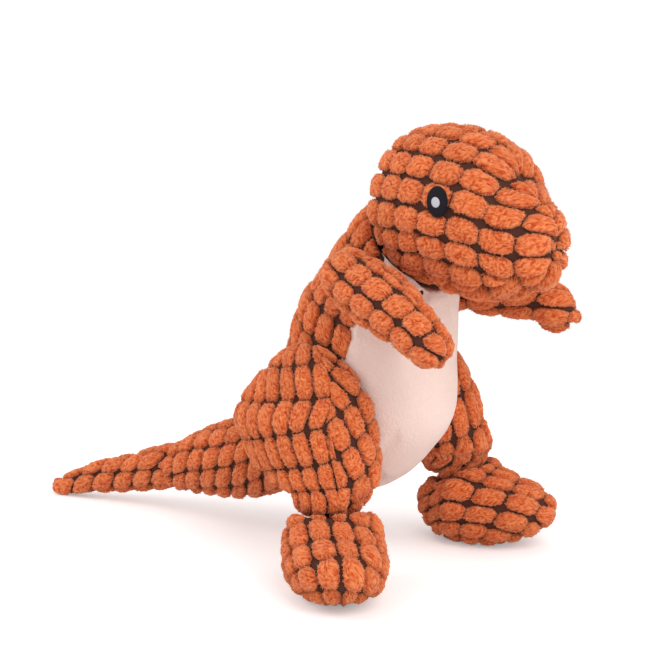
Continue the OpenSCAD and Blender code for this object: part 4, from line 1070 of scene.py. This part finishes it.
for side, word, form in ((-1, "right", arm_form_of(arm_right_root, 28, 7.5, 3)),
                         (1, "left", arm_form_of(arm_left_root, 12, 14, 5))):
    ground = tube(f"arm_backing_{word}", form, 0.02, 4.98, backing_depth, side, backing)
    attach(ground, f"arm_{word}")
    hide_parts(f"arm_stuffing_{word}")
    for middle, part in ((0, "outer"), (180, "inner")):
        cloth = Cloth(form, (0.1, 4.95), middle, lambda s, m=middle: m - 90 + seam,
                      lambda s, m=middle: m + 90 - seam)
        pads = quilt(f"arm_{part}_pads_{word}", cloth, *arm_pads[word], side, seed=13 + middle)
        grow_pile(pads, plush)
        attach(pads, f"arm_{word}")
        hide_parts(f"arm_{part}_{word}")

# ---- Head ----
# A big round head with a short tapering muzzle, in two halves seamed over the crown and a chin
# panel, all padded plush. It sits in the neck on a round seat.
head_rows = rows([-39, 0, 1, 0, 0], [-34, 0, 1, 50, 54], [-24, 0, 2.5, 82, 84], [5, 0, 4, 94, 92],
                 [37, 0, -2, 88, 87], [53, 0, -10, 67, 62], [70, 0, -14, 41, 42], [76, 0, -15, 0, 0])
head_axes = [neck_middle, (0, -1, 0), (1, 0, 0), (0, 0, 1)]
chin_half = 38.0
# How far the head turns each way in degrees, and how far its pile stays off the body's, in mm
head_turns, pile_clear = 12, 1.6
head_pads = (65.5, -1), (16.5, -0.5), (2, 15.5)
chin_rows = (8, 0), (20, 0), (0, 15)


def soft_step(t):
    """0 below 0, 1 above 1, and smooth between."""
    q = np.clip(t, 0, 1)
    return q * q * (3 - 2 * q)


def head_form(s, angle, deep):
    """The head's skin, drawn in to the round seat of the neck behind and underneath."""
    p = skin(head_axes, head_rows, s, angle, deep)
    v = p - neck_middle
    d = np.linalg.norm(v, axis=-1, keepdims=True)
    u = v / np.maximum(d, 0.01)
    w = soft_step(((u * (0, 0.45, -0.893)).sum(-1, keepdims=True) - 0.72) / 0.16)
    r = neck_ball - column(deep)
    k = soft_step((u[..., 1:2] + 0.3) / 0.15) * soft_step((-0.1 - u[..., 2:3]) / 0.15)
    a = d + (np.minimum(d, r) - d) * k
    return np.where(d < 12, p, neck_middle + u * (a + (r - a) * w))


head_ground = tube("head_backing", head_form, 0.02, 6.98, backing_depth, 1, backing, 96, 96)
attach(head_ground, "head")
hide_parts("head_stuffing")

eye_along, eye_angle, eye_size = 24.0, 12.0, (12.0, 17.0)
# Half the head's width where the eyes are, and how many degrees a length of 1 takes up there
eye_reach = 45.4
eye_turn = 57.3 / eye_reach


def eye_point(u, v, out):
    """The point so far before, below and outside the eye's middle, along the head's skin."""
    u, v, out = np.array([[u], [v], [out]], float)
    s = row_of(head_rows, eye_along + u, 281)
    return skin(head_axes, head_rows, s, eye_angle - v * eye_turn, -out)[0]


eye_spot = eye_point(0, 0, 0)
eye_out, eye_up = eye_point(0, 0, 1) - eye_spot, eye_point(0, -1, 0) - eye_spot
eye_up /= np.linalg.norm(eye_up)
eye_fore = np.cross(eye_up, eye_out / np.linalg.norm(eye_out))


def under_eye(p):
    """True where a point lies under the eye's felt."""
    v = p - eye_spot
    x = (v * eye_fore).sum(-1) / (eye_size[0] / 2 + 0.2)
    y = (v * eye_up).sum(-1) / (eye_size[1] / 2 + 0.2)
    return (x * x + y * y < 1) & (np.linalg.norm(v, axis=-1) < 14)


def free_of_body(p):
    """How far above, before or inside the body's rim a point of the head stays while the head turns."""
    r = row_at(body_rows, row_of(body_rows, p[..., 2]))
    half = np.sqrt(np.maximum(r[..., 3:5], 0.01))
    v = p - neck_middle
    inside = neck_ball + 0.1 - np.linalg.norm(v, axis=-1)
    least = np.full(p.shape[:-1], 99.0)
    for turned in np.radians(np.linspace(-head_turns, head_turns, 5)):
        x = v[..., 0] * math.cos(turned) - v[..., 1] * math.sin(turned)
        y = v[..., 0] * math.sin(turned) + v[..., 1] * math.cos(turned)
        over = p[..., 2] - rim_height(y + neck_middle[1]) - pile_clear
        out = np.hypot(x / half[..., 0], (y + neck_middle[1] - r[..., 2]) / half[..., 1])
        before = (out - 1) * half.min(-1) - pile_clear
        least = np.minimum(least, np.maximum(np.maximum(over, before), inside))
    return least


# How much longer the pile is along the chin, and how far before and below which place it is so
jowl_more, jowl_from, jowl_under = 0.7, -60, 192


def jowl(p):
    """The pile is longer along the chin, in front of the body."""
    before, below = soft_step((jowl_from - p[..., 1]) / 12), soft_step((jowl_under - p[..., 2]) / 16)
    return 1 + jowl_more * before * below


for side, word in ((-1, "right"), (1, "left")):
    cloth = Cloth(head_form, (0.1, 6.9), 16, lambda s: chin_half - 90 + seam, lambda s: 90 - seam)
    pads = quilt(f"head_pads_{word}", cloth, *head_pads, side, bend=(1, 1), seed=17,
                 bare=under_eye, puff=jowl, kept=free_of_body)
    grow_pile(pads, plush)
    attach(pads, "head")
    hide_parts(f"head_panel_{word}")
cloth = Cloth(head_form, (1.1, 6.9), -90, lambda s: -90 - chin_half + seam,
              lambda s: chin_half - 90 - seam)
chin = quilt("chin_pads", cloth, *chin_rows, puff=jowl, kept=free_of_body, seed=19)
grow_pile(chin, plush)
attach(chin, "head")
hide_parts("chin_panel")

# ---- Eyes ----
# Each eye is an oval of black felt, edged and filled with satin stitches, with a small white
# stitched dot as its glint.


def thread_material(name, dark, light, spacing):
    m, t, shader = new_material(name)
    spot = t.nodes.new("ShaderNodeTexCoord").outputs["Object"]
    wave = {"Vector": spot, "Scale": spacing, "Distortion": 1.2, "Detail": 2}
    stitches = wired(t, "ShaderNodeTexWave", wave, bands_direction="Z").outputs["Fac"]
    dye(t, shader, stitches, dark, light)
    roughen(t, shader, stitches, 0.0003)
    plug(shader, {"Roughness": 0.8, "Specular IOR Level": 0.12})
    return m


black_thread = thread_material("black felt", srgb(24, 22, 28), srgb(46, 43, 51), 700)
white_thread = thread_material("white thread", srgb(196, 196, 208), srgb(240, 240, 250), 700)


def stitched_oval(name, size, centre_v, low, rise, side, material, segments=48, rings=8):
    """A low oval dome on the skin of the head, `low` over it at its edge and `rise` higher in the middle."""

    def ring(q, height):
        turned = [2 * math.pi * j / segments for j in range(segments)]
        return [eye_point(q * size[0] / 2 * math.cos(t), centre_v + q * size[1] / 2 * math.sin(t), height)
                for t in turned]

    pts = []
    for k in range(rings + 1):
        pts += ring(k / rings, low + rise * math.sqrt(max(0.0, 1 - (k / rings) ** 4)))
    n = len(pts)
    pts += ring(1, low - 1.2)
    faces = quads(rings + 2, segments, True)
    faces.append(tuple(n + j for j in range(segments))[::-1])
    piece = new_piece(name, metres(np.array(pts), side), faces, material)
    bm = bmesh.new()
    bm.from_mesh(piece.data)
    bmesh.ops.remove_doubles(bm, verts=bm.verts, dist=1e-6)
    bmesh.ops.recalc_face_normals(bm, faces=bm.faces)
    bm.to_mesh(piece.data)
    bm.free()
    piece.data.shade_smooth()
    return piece


for side, word in ((-1, "right"), (1, "left")):
    patch = stitched_oval(f"eye_patch_{word}", eye_size, 0, 0.2, 1.3, side, black_thread)
    dot = stitched_oval(f"eye_glint_{word}", (4.9, 5.4), 0.5, 1.5, 0.6, side, white_thread, 32, 5)
    for piece, node, slot in ((patch, "eye", "eye_black"), (dot, "eye_dot", "eye_white")):
        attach(piece, "head")
        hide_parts(f"{node}_{word}")

# ---- Squeaker ----
# A flat round squeaker of thin blown plastic with a small reed, held in the middle of the filling.
# Nothing of it shows, so its solids keep their shape and only get their plastics.


def plastic_material(name, colour):
    m, t, shader = new_material(name)
    nap = wired(t, "ShaderNodeGroup", {"Grain": 1200}, node_tree=fine_nap).outputs
    roughen(t, shader, nap["Height"], 0.00005)
    plug(shader, {"Base Color": colour, "Roughness": 0.4})
    return m


for node, material in (("squeaker_case", plastic_material("squeaker plastic", srgb(238, 238, 240))),
                       ("squeaker_reed", plastic_material("reed plastic", srgb(190, 60, 50)))):
    mesh = frame["nodes"][node].data
    mesh.materials.clear()
    mesh.materials.append(material)
